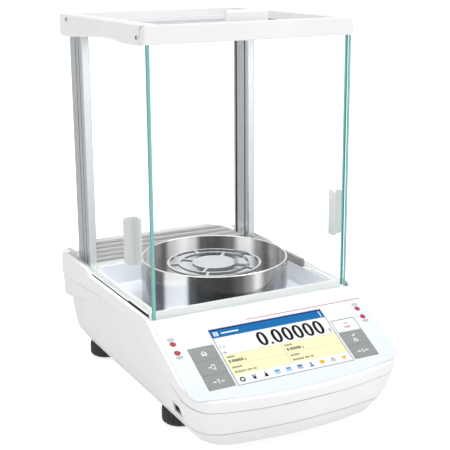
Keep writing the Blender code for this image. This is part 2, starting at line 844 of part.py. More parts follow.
def top_frame():
    """Side and rear members around the top opening, with the slots that guide the doors."""
    front = FRAME_FRONT_Y + BAR_DEPTH + GAP
    span = FRAME_BACK_Y - front
    lower = [(front + span * i / 32, skirt_z(front + span * i / 32)) for i in range(33)]
    profile = lower + [(FRAME_BACK_Y, FRAME_TOP_Z), (front, FRAME_TOP_Z)]
    frame = prism("top_frame", profile, FRAME_HALF_WIDTH)
    frame.data.materials.append(WHITE)
    bevel(frame, 0.0022, 2, 60)
    opening = TOP_OPENING_HALF_WIDTH
    boolean(frame, box("top_opening", (-opening, -0.1, 0.3), (opening, 0.113, 0.4)))
    boolean(frame, box("glass_slot", (-0.0911, -0.1, 0.3357), (0.0911, 0.2, 0.3398)))
    inner = POST_INNER_X - GAP
    boolean(frame, box("under_beam", (-inner, -0.1, 0.3), (inner, 0.2, FRAME_BOTTOM_Z)))
    for side in (-1, 1):
        x0, x1 = sorted((side * (inner - 0.001), side * (POST_OUTER_X + 0.0004)))
        pocket = ((x0, POST_FRONT_Y - GAP, 0.3), (x1, POST_BACK_Y + GAP, FRAME_BOTTOM_Z))
        boolean(frame, box("post_pocket", *pocket))
        x0, x1 = sorted((side * 0.0917, side * 0.0957))
        boolean(frame, box("door_slot", (x0, -0.1, 0.3), (x1, 0.2, 0.3398)))
        for _, y, z, length in SCREW_PLACES:
            inside = (side * (FRAME_HALF_WIDTH - length - 0.0005), y, z)
            outside = (side * 0.110, y, z)
            boolean(frame, cylinder("screw_bore", 0.0015, inside, outside, segments=16))
    return frame


def front_bar():
    bar = box(
        "front_bar",
        (-FRAME_HALF_WIDTH, FRAME_FRONT_Y, FRAME_BOTTOM_Z),
        (FRAME_HALF_WIDTH, FRAME_FRONT_Y + BAR_DEPTH, FRAME_TOP_Z),
        WHITE,
    )
    bevel(bar, 0.0025, 2, 80)
    rear = FRAME_FRONT_Y + BAR_DEPTH
    boolean(bar, box("bar_glass_slot", (-0.0911, -0.0727, 0.3357), (0.0911, rear + 0.01, 0.3398)))
    for side in (-1, 1):
        x0, x1 = sorted((side * 0.0917, side * 0.0957))
        boolean(bar, box("bar_door_slot", (x0, -0.0727, 0.3), (x1, rear + 0.01, 0.3398)))
    return bar


def frame_screws():
    """Pan-head screws in the top frame's sides. The front ones are short, clear of the side doors."""
    for end, y, z, length in SCREW_PLACES:
        profile = [
            (0.0, 0.0009),
            (0.0016, 0.0008),
            (0.0026, 0.0002),
            (0.0026, -0.0002),
            (0.0012, -0.0002),
            (0.0012, -length),
            (0.0, -length),
        ]
        for side, hand in ((-1, "left"), (1, "right")):
            screw = turned(f"frame_screw_{hand}_{end}", profile, ZINC, steps=16)
            screw.location = (side * (FRAME_HALF_WIDTH + 0.0005), y, z)
            screw.rotation_euler.y = side * math.pi / 2


def grip(name, face_x, direction):
    """A pull on a door's outer face: a short pad on the glass with a broad finger fin at its rear end."""
    reach = 0.0130
    outline = [
        (0.0, -0.0560),
        (0.0022, -0.0557),
        (0.0026, -0.0550),
        (0.0026, -0.0530),
        (0.0040, -0.0505),
        (reach - 0.0008, -0.0500),
        (reach, -0.0492),
        (reach, -0.0472),
        (reach - 0.0008, -0.0462),
        (0.0, -0.0460),
    ]
    points = [(face_x + direction * x, y) for x, y in outline]
    middle = Matrix.Translation((0, 0, (GRIP_BOTTOM_Z + GRIP_TOP_Z) / 2))
    return curve_mesh(name, [points], GRIP_TOP_Z - GRIP_BOTTOM_Z, GRIP, middle)


def doors():
    for side, hand in ((-1, "left"), (1, "right")):
        x0, x1 = sorted((side * DOOR_INNER_X, side * DOOR_OUTER_X))
        glass_pane(
            f"{hand}_door_glass", (x0, DOOR_FRONT_Y, DOOR_BOTTOM_Z), (x1, DOOR_BACK_Y, DOOR_TOP_Z)
        )
        grip(f"{hand}_door_grip", side * (DOOR_OUTER_X + GAP), side)
    glass_pane("top_door_glass", (-0.0905, -0.0720, TOP_GLASS_Z), (0.0905, 0.118, TOP_GLASS_Z + GLASS))
    low = TOP_GLASS_Z + GLASS + GAP
    profile = [
        (-0.0655, low),
        (-0.0560, low),
        (-0.0560, low + 0.0020),
        (-0.0615, low + 0.0035),
        (-0.0622, 0.3545),
        (-0.0630, 0.3555),
        (-0.0645, 0.3555),
        (-0.0655, 0.3540),
    ]
    handle = prism("top_door_handle", profile, 0.0195)
    handle.data.materials.append(WHITE)


# ---------------------------------------------------------------- inside


def internals():
    cell = box("weighing_cell", (-0.030, -0.030, 0.0300), (0.030, 0.075, 0.0720), CAST)
    for z in (0.0385, 0.0625):
        boolean(cell, box("flexure_slot", (-0.04, -0.020, z), (0.04, 0.055, z + 0.0016)))
    boolean(cell, box("lever_slot", (-0.04, 0.010, 0.0460), (0.04, 0.0125, 0.0560)))
    box("main_board", (-0.062, 0.082, 0.0360), (0.062, 0.142, 0.0376), BOARD)
    ends = ((-0.048, -0.020, 0.045), (-0.048, 0.030, 0.045))
    weight = cylinder("calibration_weight", 0.011, *ends, BRASS, 24)
    bevel(weight, 0.001, 1, 60)
    level_ring = [
        (0.0090, 0.0),
        (0.0090, -0.0060),
        (0.0066, -0.0060),
        (0.0066, -0.0006),
        (0.0070, 0.0),
    ]
    turned("level_housing", level_ring, BLACK, (0, 0.142, 0.1104), 28)
    vial = [(0.0, -0.0008), (0.0050, -0.0011), (0.0063, -0.0018), (0.0063, -0.0058), (0.0, -0.0058)]
    turned("level_vial", vial, CLEAR, (0, 0.142, 0.1104), 24)


def port(name, low, high, recess, mat):
    """A connector body with a pocket in its outer face. The recess is a box given by its two corners."""
    body = box(name, low, high, mat)
    return boolean(body, box(name + "_pocket", *recess))


def connectors():
    back = 0.1585
    face = 0.1562
    panel = box("rear_panel", (-0.058, face - 0.002, 0.039), (0.058, face, 0.061), BLACK)
    places = {
        "serial_port": (-0.016, 0.016, 0.0435, 0.0565, ZINC),
        "ethernet_port": (0.026, 0.042, 0.0430, 0.0565, ZINC),
    }
    for name, (x0, x1, z0, z1, mat) in places.items():
        hole = box(name + "_hole", (x0 - GAP, 0.1, z0 - GAP), (x1 + GAP, 0.2, z1 + GAP))
        boolean(panel, hole)
        pocket = ((x0 + 0.0015, back - 0.006, z0 + 0.0015), (x1 - 0.0015, 0.2, z1 - 0.0015))
        port(name, (x0, 0.1440, z0), (x1, back, z1), pocket, mat)
    boolean(panel, cylinder("socket_hole", 0.0063, (-0.040, 0.1, 0.05), (-0.040, 0.2, 0.05)))
    socket = cylinder("dc_socket", 0.006, (-0.040, 0.1440, 0.05), (-0.040, back, 0.05), BLACK, 24)
    bore = cylinder("socket_bore", 0.0035, (-0.040, 0.150, 0.05), (-0.040, 0.2, 0.05), segments=20)
    boolean(socket, bore)
    slot = ((-0.1, -0.1228, 0.0385), (-0.0860, -0.1102, 0.0438))
    port("side_usb_port", (-0.0930, -0.1240, 0.0365), (-0.0780, -0.1090, 0.0458), slot, ZINC)


def foot_places():
    for y in (FOOT_FRONT_Y, FOOT_BACK_Y):
        for x in (-FOOT_X, FOOT_X):
            yield x, y


def foot_outline():
    """Fluted grip ring of a levelling foot."""
    flutes = 20
    points = []
    for i in range(flutes):
        for share, radius in ((0.0, FOOT_RADIUS), (0.6, FOOT_RADIUS - 0.0011)):
            angle = math.tau * (i + share) / flutes
            points.append((radius * math.cos(angle), radius * math.sin(angle)))
    return points


def feet():
    names = ("front_left", "front_right", "rear_left", "rear_right")
    outline = foot_outline()
    levels = [(0.0, 0.88), (0.0028, 1.0), (FOOT_HEIGHT - 0.001, 1.0), (FOOT_HEIGHT, 0.94)]
    for name, (x, y) in zip(names, foot_places()):
        rings = [[Vector((px * s, py * s, z)) for px, py in outline] for z, s in levels]
        wheel = loft(f"foot_wheel_{name}", rings, BLACK)
        wheel.location = (x, y, 0)
        socket = cylinder("foot_socket", STEM_RADIUS + GAP, (x, y, 0.004), (x, y, 0.03), segments=20)
        boolean(wheel, socket)
        stem = cylinder(f"foot_stem_{name}", STEM_RADIUS, (x, y, 0.0043), (x, y, 0.0330), ZINC, 20)
        bevel(stem, 0.0006, 1, 60)


def build():
    lower_housing()
    upper_housing()
    base_plate()
    display_parts()
    chamber_frame()
    chamber_tray()
    rear_baffle()
    door_sill()
    weighing_pan()
    pan_spindle()
    shield_ring()
    posts()
    fixed_glass()
    top_frame()
    front_bar()
    frame_screws()
    doors()
    internals()
    connectors()
    feet()


build()
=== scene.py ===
"""Analytical balance: the finished look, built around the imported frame.

Metres, +Z up, -Y towards the operator, origin on the bench under the pan's axis.
Panel coordinates run x to the right, y up the display slope from its top edge, and z out of the panel.
"""

import json
import math

import bmesh
import bpy
from mathutils import Matrix, Vector

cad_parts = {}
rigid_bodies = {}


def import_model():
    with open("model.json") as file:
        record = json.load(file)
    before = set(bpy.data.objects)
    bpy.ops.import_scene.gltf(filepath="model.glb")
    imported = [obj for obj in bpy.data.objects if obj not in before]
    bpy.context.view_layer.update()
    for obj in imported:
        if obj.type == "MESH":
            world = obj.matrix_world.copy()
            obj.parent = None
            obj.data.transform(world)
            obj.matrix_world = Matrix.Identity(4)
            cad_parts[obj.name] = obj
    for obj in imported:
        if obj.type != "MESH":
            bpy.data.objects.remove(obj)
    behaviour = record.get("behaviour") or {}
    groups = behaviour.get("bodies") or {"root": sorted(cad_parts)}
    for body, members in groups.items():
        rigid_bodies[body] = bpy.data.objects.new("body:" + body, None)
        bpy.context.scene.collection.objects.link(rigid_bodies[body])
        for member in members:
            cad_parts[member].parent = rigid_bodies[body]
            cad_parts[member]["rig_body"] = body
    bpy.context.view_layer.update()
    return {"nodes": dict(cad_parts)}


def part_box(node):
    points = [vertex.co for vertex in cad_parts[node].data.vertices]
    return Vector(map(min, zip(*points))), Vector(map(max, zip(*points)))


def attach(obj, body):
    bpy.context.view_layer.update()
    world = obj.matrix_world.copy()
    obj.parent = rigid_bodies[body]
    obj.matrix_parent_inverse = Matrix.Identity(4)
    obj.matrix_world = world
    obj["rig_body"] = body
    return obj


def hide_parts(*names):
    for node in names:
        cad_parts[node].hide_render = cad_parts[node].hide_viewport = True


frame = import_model()

MM = 0.001
GAP = 0.3 * MM

HANDS = ((-1, "left"), (1, "right"))

# Housing
HALF_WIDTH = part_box("upper_housing")[1].x
HALF_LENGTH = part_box("upper_housing")[1].y
CREASE_Z = 32 * MM
PARTING_FRONT_Z = 50 * MM
PARTING_RISE = 45 * MM
PARTING_DROP = 6.5 * MM
OVERHANG_Z = 66.7 * MM
DECK_Z = 107.2 * MM
REAR_DECK_Z = 112 * MM
SHELL = 3 * MM

# Display slope
PANEL_TOP_Y = -78 * MM
PANEL_TOP_Z = 105 * MM
PANEL_SLOPE = math.radians(27.7)
PANEL_HALF_WIDTH = 99.5 * MM
PANEL_LENGTH = 96.5 * MM
PANEL_BOW = 9 * MM
SCREEN_HALF_WIDTH = 55.3 * MM
SCREEN_TOP_S = 20.4 * MM
SCREEN_BOTTOM_S = 81.8 * MM
KEY_X = (57.4 * MM, 81.2 * MM)
KEY_TOP_S = 36.3 * MM
KEY_PITCH = 15.1 * MM
KEY_HEIGHT = 14.6 * MM
SENSOR_X = 90.6 * MM
SENSOR_S = (28 * MM, 37.8 * MM)
SENSOR_RADIUS = 2.5 * MM

# Chamber and draft shield
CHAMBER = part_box("chamber_frame")
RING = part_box("shield_ring")
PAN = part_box("weighing_pan")
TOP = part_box("top_frame")
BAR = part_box("front_bar")

# Turns that stand an outline upright: across Y and up Z, or across X and up Z
FROM_SIDE = Matrix(((0, 0, 1, 0), (1, 0, 0, 0), (0, 1, 0, 0), (0, 0, 0, 1)))
FROM_FRONT = Matrix(((1, 0, 0, 0), (0, 0, -1, 0), (0, 1, 0, 0), (0, 0, 0, 1)))

# Studio
WHITE = (1.0, 1.0, 1.0)
AMBIENT = 0.70
BACKDROP = 1.25
FLOOR_REACH = 6.0
FLOOR_GLOW = 0.62
MIRROR_BANDS = (
    (0.0, 0.9), (0.14, 1.0), (0.3, 0.6), (0.4, 0.95), (0.55, 0.65), (0.68, 1.0), (0.86, 0.7), (1.0, 0.9),
)
LAMP_AIM = Vector((0, 0, 0.15))
LAMPS = (
    ("key", (0.9, -1.1, 1.3), 1.4, 10.5),
    ("top", (0.0, 0.1, 1.7), 1.6, 6.0),
    ("fill", (-1.3, -0.5, 0.8), 1.2, 2.6),
    ("chamber", (0.0, 0.01, 0.328), 0.15, 0.42),
)
EYE = (-0.4143, -0.8181, 0.4023)
EYE_YAW = math.radians(26.94)
EYE_PITCH = math.radians(14.44)
EYE_ROLL = math.radians(-0.554)
EYE_LENS = 82.13
EYE_SHIFT = (0.022, -0.0216)


# ---------------------------------------------------------------- outlines


def arc(centre, radius, start, end, count):
    """Points on an arc, from start to end in degrees, both ends included."""
    angles = [math.radians(start + (end - start) * i / count) for i in range(count + 1)]
    return [(centre[0] + radius * math.cos(a), centre[1] + radius * math.sin(a)) for a in angles]


def circle(radius, count, centre=(0, 0)):
    return arc(centre, radius, 0, 360 - 360 / count, count - 1)


def rounded_rectangle(x0, y0, x1, y1, radius, count=6):
    corners = [
        ((x0 + radius, y0 + radius), 180),
        ((x1 - radius, y0 + radius), 270),
        ((x1 - radius, y1 - radius), 0),
        ((x0 + radius, y1 - radius), 90),
    ]
    points = []
    for centre, start in corners:
        points += arc(centre, radius, start, start + 90, count)
    return points


def half_plan(half_width, front, back, front_radius, back_radius, bow, rows):
    """Right half of a plan outline, from the middle of its bowed front to its right back corner."""
    curve = bow / half_width**2
    lean = 0.0
    for _ in range(8):
        edge_x = half_width - front_radius + front_radius * math.sin(lean)
        lean = math.atan(2 * curve * edge_x)
    edge_y = front + curve * edge_x**2
    front_centre = (half_width - front_radius, edge_y + front_radius * math.cos(lean))
    back_centre = (half_width - back_radius, back - back_radius)
    steps = 14
    points = [(edge_x * i / steps, front + curve * (edge_x * i / steps) ** 2) for i in range(steps)]
    points += arc(front_centre, front_radius, math.degrees(lean) - 90, 0, 14)
    points += [(half_width, y) for y in rows]
    points += arc(back_centre, back_radius, 0, 90, 16)
    return points


def whole(half):
    """The full outline of a half that starts on the middle line."""
    return half + [(-x, y) for x, y in reversed(half[1:])]


def in_mm(points):
    return [(a * MM, b * MM) for a, b in points]


def spread(start, end, step):
    count = max(1, round((end - start) / step))
    return [start + (end - start) * i / count for i in range(count + 1)]


def smooth_step(value):
    t = min(max(value, 0.0), 1.0)
    return t * t * (3 - 2 * t)


# ---------------------------------------------------------------- meshes


def mesh_of(name, bm):
    bmesh.ops.recalc_face_normals(bm, faces=bm.faces)
    mesh = bpy.data.meshes.new(name)
    bm.to_mesh(mesh)
    bm.free()
    return mesh


def helper(name, mesh):
    obj = bpy.data.objects.new(name, mesh)
    bpy.context.scene.collection.objects.link(obj)
    return obj


def bake(obj):
    """Gives an object its evaluated mesh, and clears its modifiers."""
    bpy.context.view_layer.update()
    graph = bpy.context.evaluated_depsgraph_get()
    mesh = bpy.data.meshes.new_from_object(obj.evaluated_get(graph))
    obj.modifiers.clear()
    obj.data = mesh
    return obj


def combine(obj, other, operation="DIFFERENCE"):
    modifier = obj.modifiers.new("combine", "BOOLEAN")
    modifier.operation = operation
    modifier.object = other
    bake(obj)
    bpy.data.objects.remove(other, do_unlink=True)
    return obj


def rounded(obj, width, segments=3, angle=30):
    """Rounds the edges that turn by more than the angle."""
    modifier = obj.modifiers.new("rounded", "BEVEL")
    modifier.width = width
    modifier.segments = segments
    modifier.limit_method = "ANGLE"
    modifier.angle_limit = math.radians(angle)
    modifier.miter_outer = "MITER_ARC"
    return bake(obj)


def shaded(obj, angle=35):
    """Smooth shading that keeps flat faces flat."""
    obj.data.shade_smooth()
    obj.data.set_sharp_from_angle(angle=math.radians(angle))
    weighted = obj.modifiers.new("weighted", "WEIGHTED_NORMAL")
    weighted.keep_sharp = True
    weighted.weight = 80
    return obj


def piece(obj, finish, body, slot, *stands_for, angle=35):
    """Makes a helper a visible piece that rides on a CAD body, in place of the nodes it stands for."""
    finishes = finish if isinstance(finish, list) else [finish]
    for material in finishes:
        obj.data.materials.append(material)
    shaded(obj, angle)
    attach(obj, body)
    if stands_for:
        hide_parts(*stands_for)
    return obj


def loft(name, rings, closed=False, caps="strips"):
    """Quads between rings of equal length. Strip caps join mirrored points, so they may bend along Y."""
    bm = bmesh.new()
    made = [[bm.verts.new(point) for point in ring] for ring in rings]
    pairs = list(zip(made, made[1:]))
    if closed:
        pairs.append((made[-1], made[0]))
    for lower, upper in pairs:
        count = len(lower)
        for i in range(count):
            j = (i + 1) % count
            bm.faces.new((lower[i], lower[j], upper[j], upper[i]))
    if not closed:
        for ring in (made[0], made[-1]):
            if caps == "face":
                bm.faces.new(ring)
                continue
            count = len(ring)
            for i in range(count // 2):
                corners = (ring[i], ring[i + 1], ring[(count - i - 1) % count], ring[(count - i) % count])
                bm.faces.new(list(dict.fromkeys(corners)))
    return helper(name, mesh_of(name, bm))


def lift(outline, height):
    """Puts a plan outline at a height, which may be a function of y."""
    level = height if callable(height) else lambda y: height
    return [Vector((x, y, level(y))) for x, y in outline]


def slab(name, outline, low, high, matrix=None, holes=()):
    """A flat outline with holes, as a solid from low to high along its own Z."""
    curve = bpy.data.curves.new(name, "CURVE")
    curve.dimensions = "2D"
    curve.fill_mode = "BOTH"
    curve.extrude = (high - low) / 2
    for loop in [outline, *holes]:
        spline = curve.splines.new("POLY")
        spline.points.add(len(loop) - 1)
        for point, (x, y) in zip(spline.points, loop):
            point.co = (x, y, 0, 1)
        spline.use_cyclic_u = True
    drawn = helper(name + "_outline", curve)
    bpy.context.view_layer.update()
    graph = bpy.context.evaluated_depsgraph_get()
    mesh = bpy.data.meshes.new_from_object(drawn.evaluated_get(graph))
    bpy.data.objects.remove(drawn, do_unlink=True)
    bm = bmesh.new()
    bm.from_mesh(mesh)
    bpy.data.meshes.remove(mesh)
    bmesh.ops.remove_doubles(bm, verts=bm.verts, dist=1e-7)
    bmesh.ops.dissolve_limit(bm, angle_limit=math.radians(0.2), verts=bm.verts, edges=bm.edges)
    obj = helper(name, mesh_of(name, bm))
    obj.data.transform((matrix or Matrix.Identity(4)) @ Matrix.Translation((0, 0, (low + high) / 2)))
    return obj


def box(name, low, high):
    low = Vector(low)
    high = Vector(high)
    bm = bmesh.new()
    bmesh.ops.create_cube(bm, size=1.0)
    bmesh.ops.scale(bm, vec=high - low, verts=bm.verts)
    bmesh.ops.translate(bm, vec=(low + high) / 2, verts=bm.verts)
    return helper(name, mesh_of(name, bm))


def rod(name, radius, low, high, segments=48):
    low = Vector(low)
    high = Vector(high)
    bm = bmesh.new()
    bmesh.ops.create_cone(
        bm, cap_ends=True, segments=segments, radius1=radius, radius2=radius, depth=(high - low).length
    )
    turn = (high - low).to_track_quat("Z", "Y").to_matrix().to_4x4()
    bmesh.ops.transform(bm, matrix=Matrix.Translation((low + high) / 2) @ turn, verts=bm.verts)
    return helper(name, mesh_of(name, bm))


def turned(name, profile, steps=96, matrix=None):
    """A closed (radius, z) profile turned about Z. Points on the axis close the ends."""
    bm = bmesh.new()
    rows = []
    for radius, z in profile:
        if radius <= 0:
            rows.append([bm.verts.new((0, 0, z))] * steps)
            continue
        rows.append([bm.verts.new((x, y, z)) for x, y in circle(radius, steps)])
    for upper, lower in zip(rows, rows[1:] + rows[:1]):
        for i in range(steps):
            j = (i + 1) % steps
            corners = list(dict.fromkeys((upper[i], upper[j], lower[j], lower[i])))
            if len(corners) > 2:
                bm.faces.new(corners)
    obj = helper(name, mesh_of(name, bm))
    obj.data.transform(matrix or Matrix.Identity(4))
    return obj


def softened_mesh(node):
    """A copy of a CAD node with its flat faces whole again."""
    bm = bmesh.new()
    bm.from_mesh(frame["nodes"][node].data)
    bmesh.ops.remove_doubles(bm, verts=bm.verts, dist=1e-6)
    bmesh.ops.dissolve_limit(bm, angle_limit=math.radians(0.3), verts=bm.verts, edges=bm.edges)
    return helper(node + "_soft", mesh_of(node + "_soft", bm))


def softened(node, finish, slot, width=0.4 * MM, segments=3, angle=30):
    """A copy of a CAD node with rounded edges, riding in its place."""
    obj = rounded(softened_mesh(node), width, segments, angle)
    return piece(obj, finish, frame["nodes"][node]["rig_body"], slot, node)


def panel_matrix(depth=0.0):
    turn = Matrix.Rotation(PANEL_SLOPE, 4, "X")
    return Matrix.Translation((0, PANEL_TOP_Y, PANEL_TOP_Z)) @ turn @ Matrix.Translation((0, 0, -depth))


# ---------------------------------------------------------------- node materials


class Nodes:
    """A node tree, with short calls to add and join nodes."""

    def __init__(self, tree):
        self.tree = tree

    def add(self, kind, **values):
        node = self.tree.nodes.new(kind)
        for key, value in values.items():
            setattr(node, key, value)
        return node

    def put(self, socket, value):
        """Links or sets an input. Every set colour is opaque."""
        if isinstance(value, bpy.types.NodeSocket):
            self.tree.links.new(value, socket)
        elif socket.type == "RGBA":
            socket.default_value = (*value, 1.0)
        else:
            socket.default_value = value

    def feed(self, node, **values):
        """Puts values in a node's inputs, named with _ for a space."""
        for key, value in values.items():
            self.put(node.inputs[key.replace("_", " ")], value)
        return node

    def axes(self, vector):
        split = self.add("ShaderNodeSeparateXYZ")
        self.put(split.inputs[0], vector)
        return split.outputs

    def ranged(self, value, low, high, start=0.3, end=0.7):
        node = self.add("ShaderNodeMapRange")
        self.feed(node, Value=value, From_Min=start, From_Max=end, To_Min=low, To_Max=high)
        return node.outputs["Result"]

    def math(self, operation, first, second=0.0):
        node = self.add("ShaderNodeMath", operation=operation)
        self.put(node.inputs[0], first)
        self.put(node.inputs[1], second)
        return node.outputs[0]

    def blend(self, factor, first, second):
        node = self.add("ShaderNodeMix", data_type="RGBA")
        self.put(node.inputs["Factor"], factor)
        for socket, value in zip([s for s in node.inputs if s.type == "RGBA"], (first, second)):
            self.put(socket, value)
        return [s for s in node.outputs if s.type == "RGBA"][0]

    def ramp(self, place, stops):
        """Eased grey tones at places from 0 to 1, with the blue times the tint."""
        node = self.feed(self.add("ShaderNodeValToRGB"), Fac=place)
        node.color_ramp.interpolation = "EASE"
        elements = node.color_ramp.elements
        elements.remove(elements[-1])
        for i, (position, tone, tint) in enumerate(stops):
            stop = elements.new(position) if i else elements[0]
            stop.position = position
            stop.color = (tone, tone, tone * tint, 1)
        return node.outputs["Color"]

    def mixed(self, share, first, second):
        """One shader by the share, over another."""
        node = self.add("ShaderNodeMixShader")
        for socket, value in zip(node.inputs, (share, first, second)):
            self.put(socket, value)
        return node.outputs[0]


class Finish(Nodes):
    """A material, built up round its main shader."""

    def __init__(self, name):
        self.material = bpy.data.materials.new(name)
        self.material.use_nodes = True
        super().__init__(self.material.node_tree)
        self.shader = self.tree.nodes["Principled BSDF"]
        self.place = self.add("ShaderNodeTexCoord").outputs["Object"]

    def surface(self, tone, gloss, **values):
        """Sets the main shader, and gives the material."""
        self.feed(self.shader, Base_Color=tone, Roughness=gloss, **values)
        return self.material

    def stretched(self, scale):
        """Object coordinates scaled along each axis, in features per metre."""
        return self.feed(self.add("ShaderNodeMapping"), Vector=self.place, Scale=scale).outputs["Vector"]

    def noise(self, scale, detail=2.0, roughness=0.5, vector=None):
        node = self.add("ShaderNodeTexNoise")
        self.feed(node, Vector=vector or self.place, Scale=scale, Detail=detail, Roughness=roughness)
        return node.outputs["Fac"]

    def drift(self, scale, colour, low, high, detail=2.0):
        """The colour, with its brightness drifting slowly between two factors."""
        share = self.ranged(self.noise(scale, detail), 0.0, 1.0)
        return self.blend(share, shade(colour, low), shade(colour, high))

    def within(self, radius):
        """1 within a radius of the pan's axis and 0 outside it."""
        x, y, _ = self.axes(self.place)
        reach = self.math("ADD", self.math("POWER", x, 2.0), self.math("POWER", y, 2.0))
        return self.math("LESS_THAN", reach, radius**2)

    def worn_edge(self, radius):
        """1 on a sharp edge and 0 away from it."""
        bevel = self.feed(self.add("ShaderNodeBevel", samples=4), Radius=radius)
        turn = self.add("ShaderNodeVectorMath", operation="DOT_PRODUCT")
        self.put(turn.inputs[0], bevel.outputs["Normal"])
        self.put(turn.inputs[1], self.add("ShaderNodeNewGeometry").outputs["Normal"])
        return self.ranged(turn.outputs["Value"], 1.0, 0.0, 0.75, 0.99)

    def bump(self, height, distance, strength):
        node = self.add("ShaderNodeBump")
        return self.feed(node, Height=height, Distance=distance, Strength=strength).outputs["Normal"]


def shade(colour, factor):
    return tuple(min(1.0, c * factor) for c in colour)


def moulded(name, colour, roughness, grain=0.5, coat=0.0, shade_under_pan=None):
    """Moulded plastic: spark-eroded grain, slow drift of tone and gloss, polished edges, and, where a colour
    is given, painted shade under the pan, inside the draught ring.
    """
    finish = Finish(name)
    tone = finish.drift(14.0, colour, 0.975, 1.015, 3.0)
    fine = finish.noise(2600.0)
    mid = finish.noise(420.0, 4.0, 0.6)
    edge = finish.math("MULTIPLY", finish.worn_edge(0.5 * MM), 0.35)
    tone = finish.blend(edge, tone, shade(colour, 1.06))
    # Painted shade: the colour given for the shade under the pan fills the draught ring's circle.
    if shade_under_pan:
        tone = finish.blend(finish.within(RING[1].x - 1 * MM), tone, shade_under_pan)
    gloss = finish.ranged(mid, roughness - 0.05, roughness + 0.05)
    gloss = finish.math("SUBTRACT", gloss, finish.math("MULTIPLY", edge, 0.15))
    height = finish.math("ADD", fine, finish.math("MULTIPLY", mid, 0.5))
    normal = finish.bump(height, 0.02 * MM, grain)
    finish.feed(finish.shader, Coat_Weight=coat, Coat_Roughness=0.2, Specular_IOR_Level=0.45)
    return finish.surface(tone, gloss, Normal=normal)


def extruded(name, colour, roughness, metallic=0.9):
    """Anodised extrusion, drawn along Z."""
    finish = Finish(name)
    streak = finish.noise(1.0, 3.0, 0.6, finish.stretched((3200, 3200, 6)))
    broad = finish.noise(1.0, 2.0, 0.5, finish.stretched((240, 240, 2)))
    tone = finish.blend(finish.ranged(streak, 0.0, 1.0), shade(colour, 0.93), shade(colour, 1.05))
    gloss = finish.ranged(broad, roughness - 0.06, roughness + 0.06)
    normal = finish.bump(streak, 0.012 * MM, 0.6)
    return finish.surface(tone, gloss, Metallic=metallic, Normal=normal, Anisotropic=0.5)


def polished(name, colour, roughness, streaks):
    """Polished sheet steel with fine drawing lines, given as features per metre along each axis."""
    finish = Finish(name)
    line = finish.noise(1.0, 3.0, 0.6, finish.stretched(streaks))
    gloss = finish.ranged(line, roughness - 0.03, roughness + 0.05)
    normal = finish.bump(line, 0.004 * MM, 0.35)
    return finish.surface(finish.drift(35.0, colour, 0.96, 1.03), gloss, Metallic=1.0, Normal=normal)


def banded(finish, turn, bands):
    """A ramp round the axis: tones at azimuths in degrees, which start at the first and wrap."""
    first = bands[0][0]
    share = finish.math("DIVIDE", finish.math("SUBTRACT", turn, math.radians(first)), math.tau)
    stops = [((degrees - first) / 360, tone, 1.01) for degrees, tone in bands]
    return finish.ramp(finish.math("FRACT", share), stops)


def steel_with_painted_reflections(name, roughness):
    """Polished ring steel with painted reflections: bright and dark bands painted by azimuth, inside and out,
    and a painted glow on the inner wall.
    """
    # Painted reflections: tones by azimuth in degrees for the inner wall and the outer wall, standing in for
    # the studio's mirrored bands.
    inside = (
        (-100, 0.30), (-40, 0.34), (-20, 0.10), (-12, 0.60), (0, 0.95), (9, 0.75), (16, 0.09), (30, 0.06),
        (42, 0.16), (50, 0.85), (58, 0.90), (66, 0.28), (76, 0.08), (87, 0.34), (97, 0.16), (125, 0.28),
    )
    outside = (
        (-60, 0.45), (0, 0.6), (90, 0.25), (124, 0.50), (140, 0.22), (150, 0.35), (165, 0.25), (173, 0.95),
        (180, 0.40), (188, 0.12), (196, 0.02), (218, 0.02), (225, 0.10), (229, 0.98), (245, 0.95),
        (250, 0.12), (262, 0.16), (275, 0.30),
    )
    finish = Finish(name)
    x, y, _ = finish.axes(finish.place)
    turn = finish.math("ARCTAN2", x, y)
    within = finish.within(RING[1].x - 0.9 * MM)
    tone = finish.blend(within, banded(finish, turn, outside), banded(finish, turn, inside))
    line = finish.noise(1.0, 3.0, 0.6, finish.stretched((1500, 1500, 25)))
    tone = finish.blend(finish.ranged(line, 0.0, 0.06), tone, (0.9, 0.92, 0.95))
    gloss = finish.ranged(line, roughness - 0.03, roughness + 0.06)
    normal = finish.bump(line, 0.004 * MM, 0.35)
    # Painted glow on the inner wall, though it is no lamp.
    glow = finish.math("MULTIPLY", within, 0.55)
    finish.feed(finish.shader, Emission_Color=tone, Emission_Strength=glow)
    return finish.surface(tone, gloss, Metallic=0.75, Normal=normal)


def cast(name, colour, roughness=0.5):
    finish = Finish(name)
    grain = finish.noise(900.0, 5.0, 0.7)
    gloss = finish.ranged(grain, roughness - 0.08, roughness + 0.12)
    normal = finish.bump(grain, 0.08 * MM, 0.7)
    return finish.surface(finish.drift(60.0, colour, 0.85, 1.08, 3.0), gloss, Metallic=0.9, Normal=normal)


def clear_glass(name, tint=(0.998, 1.0, 0.999)):
    """Thin clear pane: light passes straight through, with a mirror share that grows at a glancing angle."""
    finish = Finish(name)
    smear = finish.noise(9.0, 4.0, 0.6)
    tone = finish.blend(finish.ranged(smear, 0.0, 1.0), tint, shade(tint, 0.99))
    clear = finish.feed(finish.add("ShaderNodeBsdfTransparent"), Color=tone)
    mirror = finish.add("ShaderNodeBsdfGlossy")
    finish.feed(mirror, Roughness=finish.ranged(smear, 0.0, 0.02), Color=(1, 1, 1))
    angle = finish.feed(finish.add("ShaderNodeFresnel"), IOR=1.45)
    leaving = finish.add("ShaderNodeNewGeometry").outputs["Backfacing"]
    share = finish.math("MULTIPLY", angle.outputs["Fac"], finish.math("SUBTRACT", 0.5, leaving))
    share = finish.math("MAXIMUM", share, 0.0)
    pane = finish.mixed(share, clear.outputs[0], mirror.outputs[0])
    finish.put(finish.tree.nodes["Material Output"].inputs["Surface"], pane)
    return finish.material


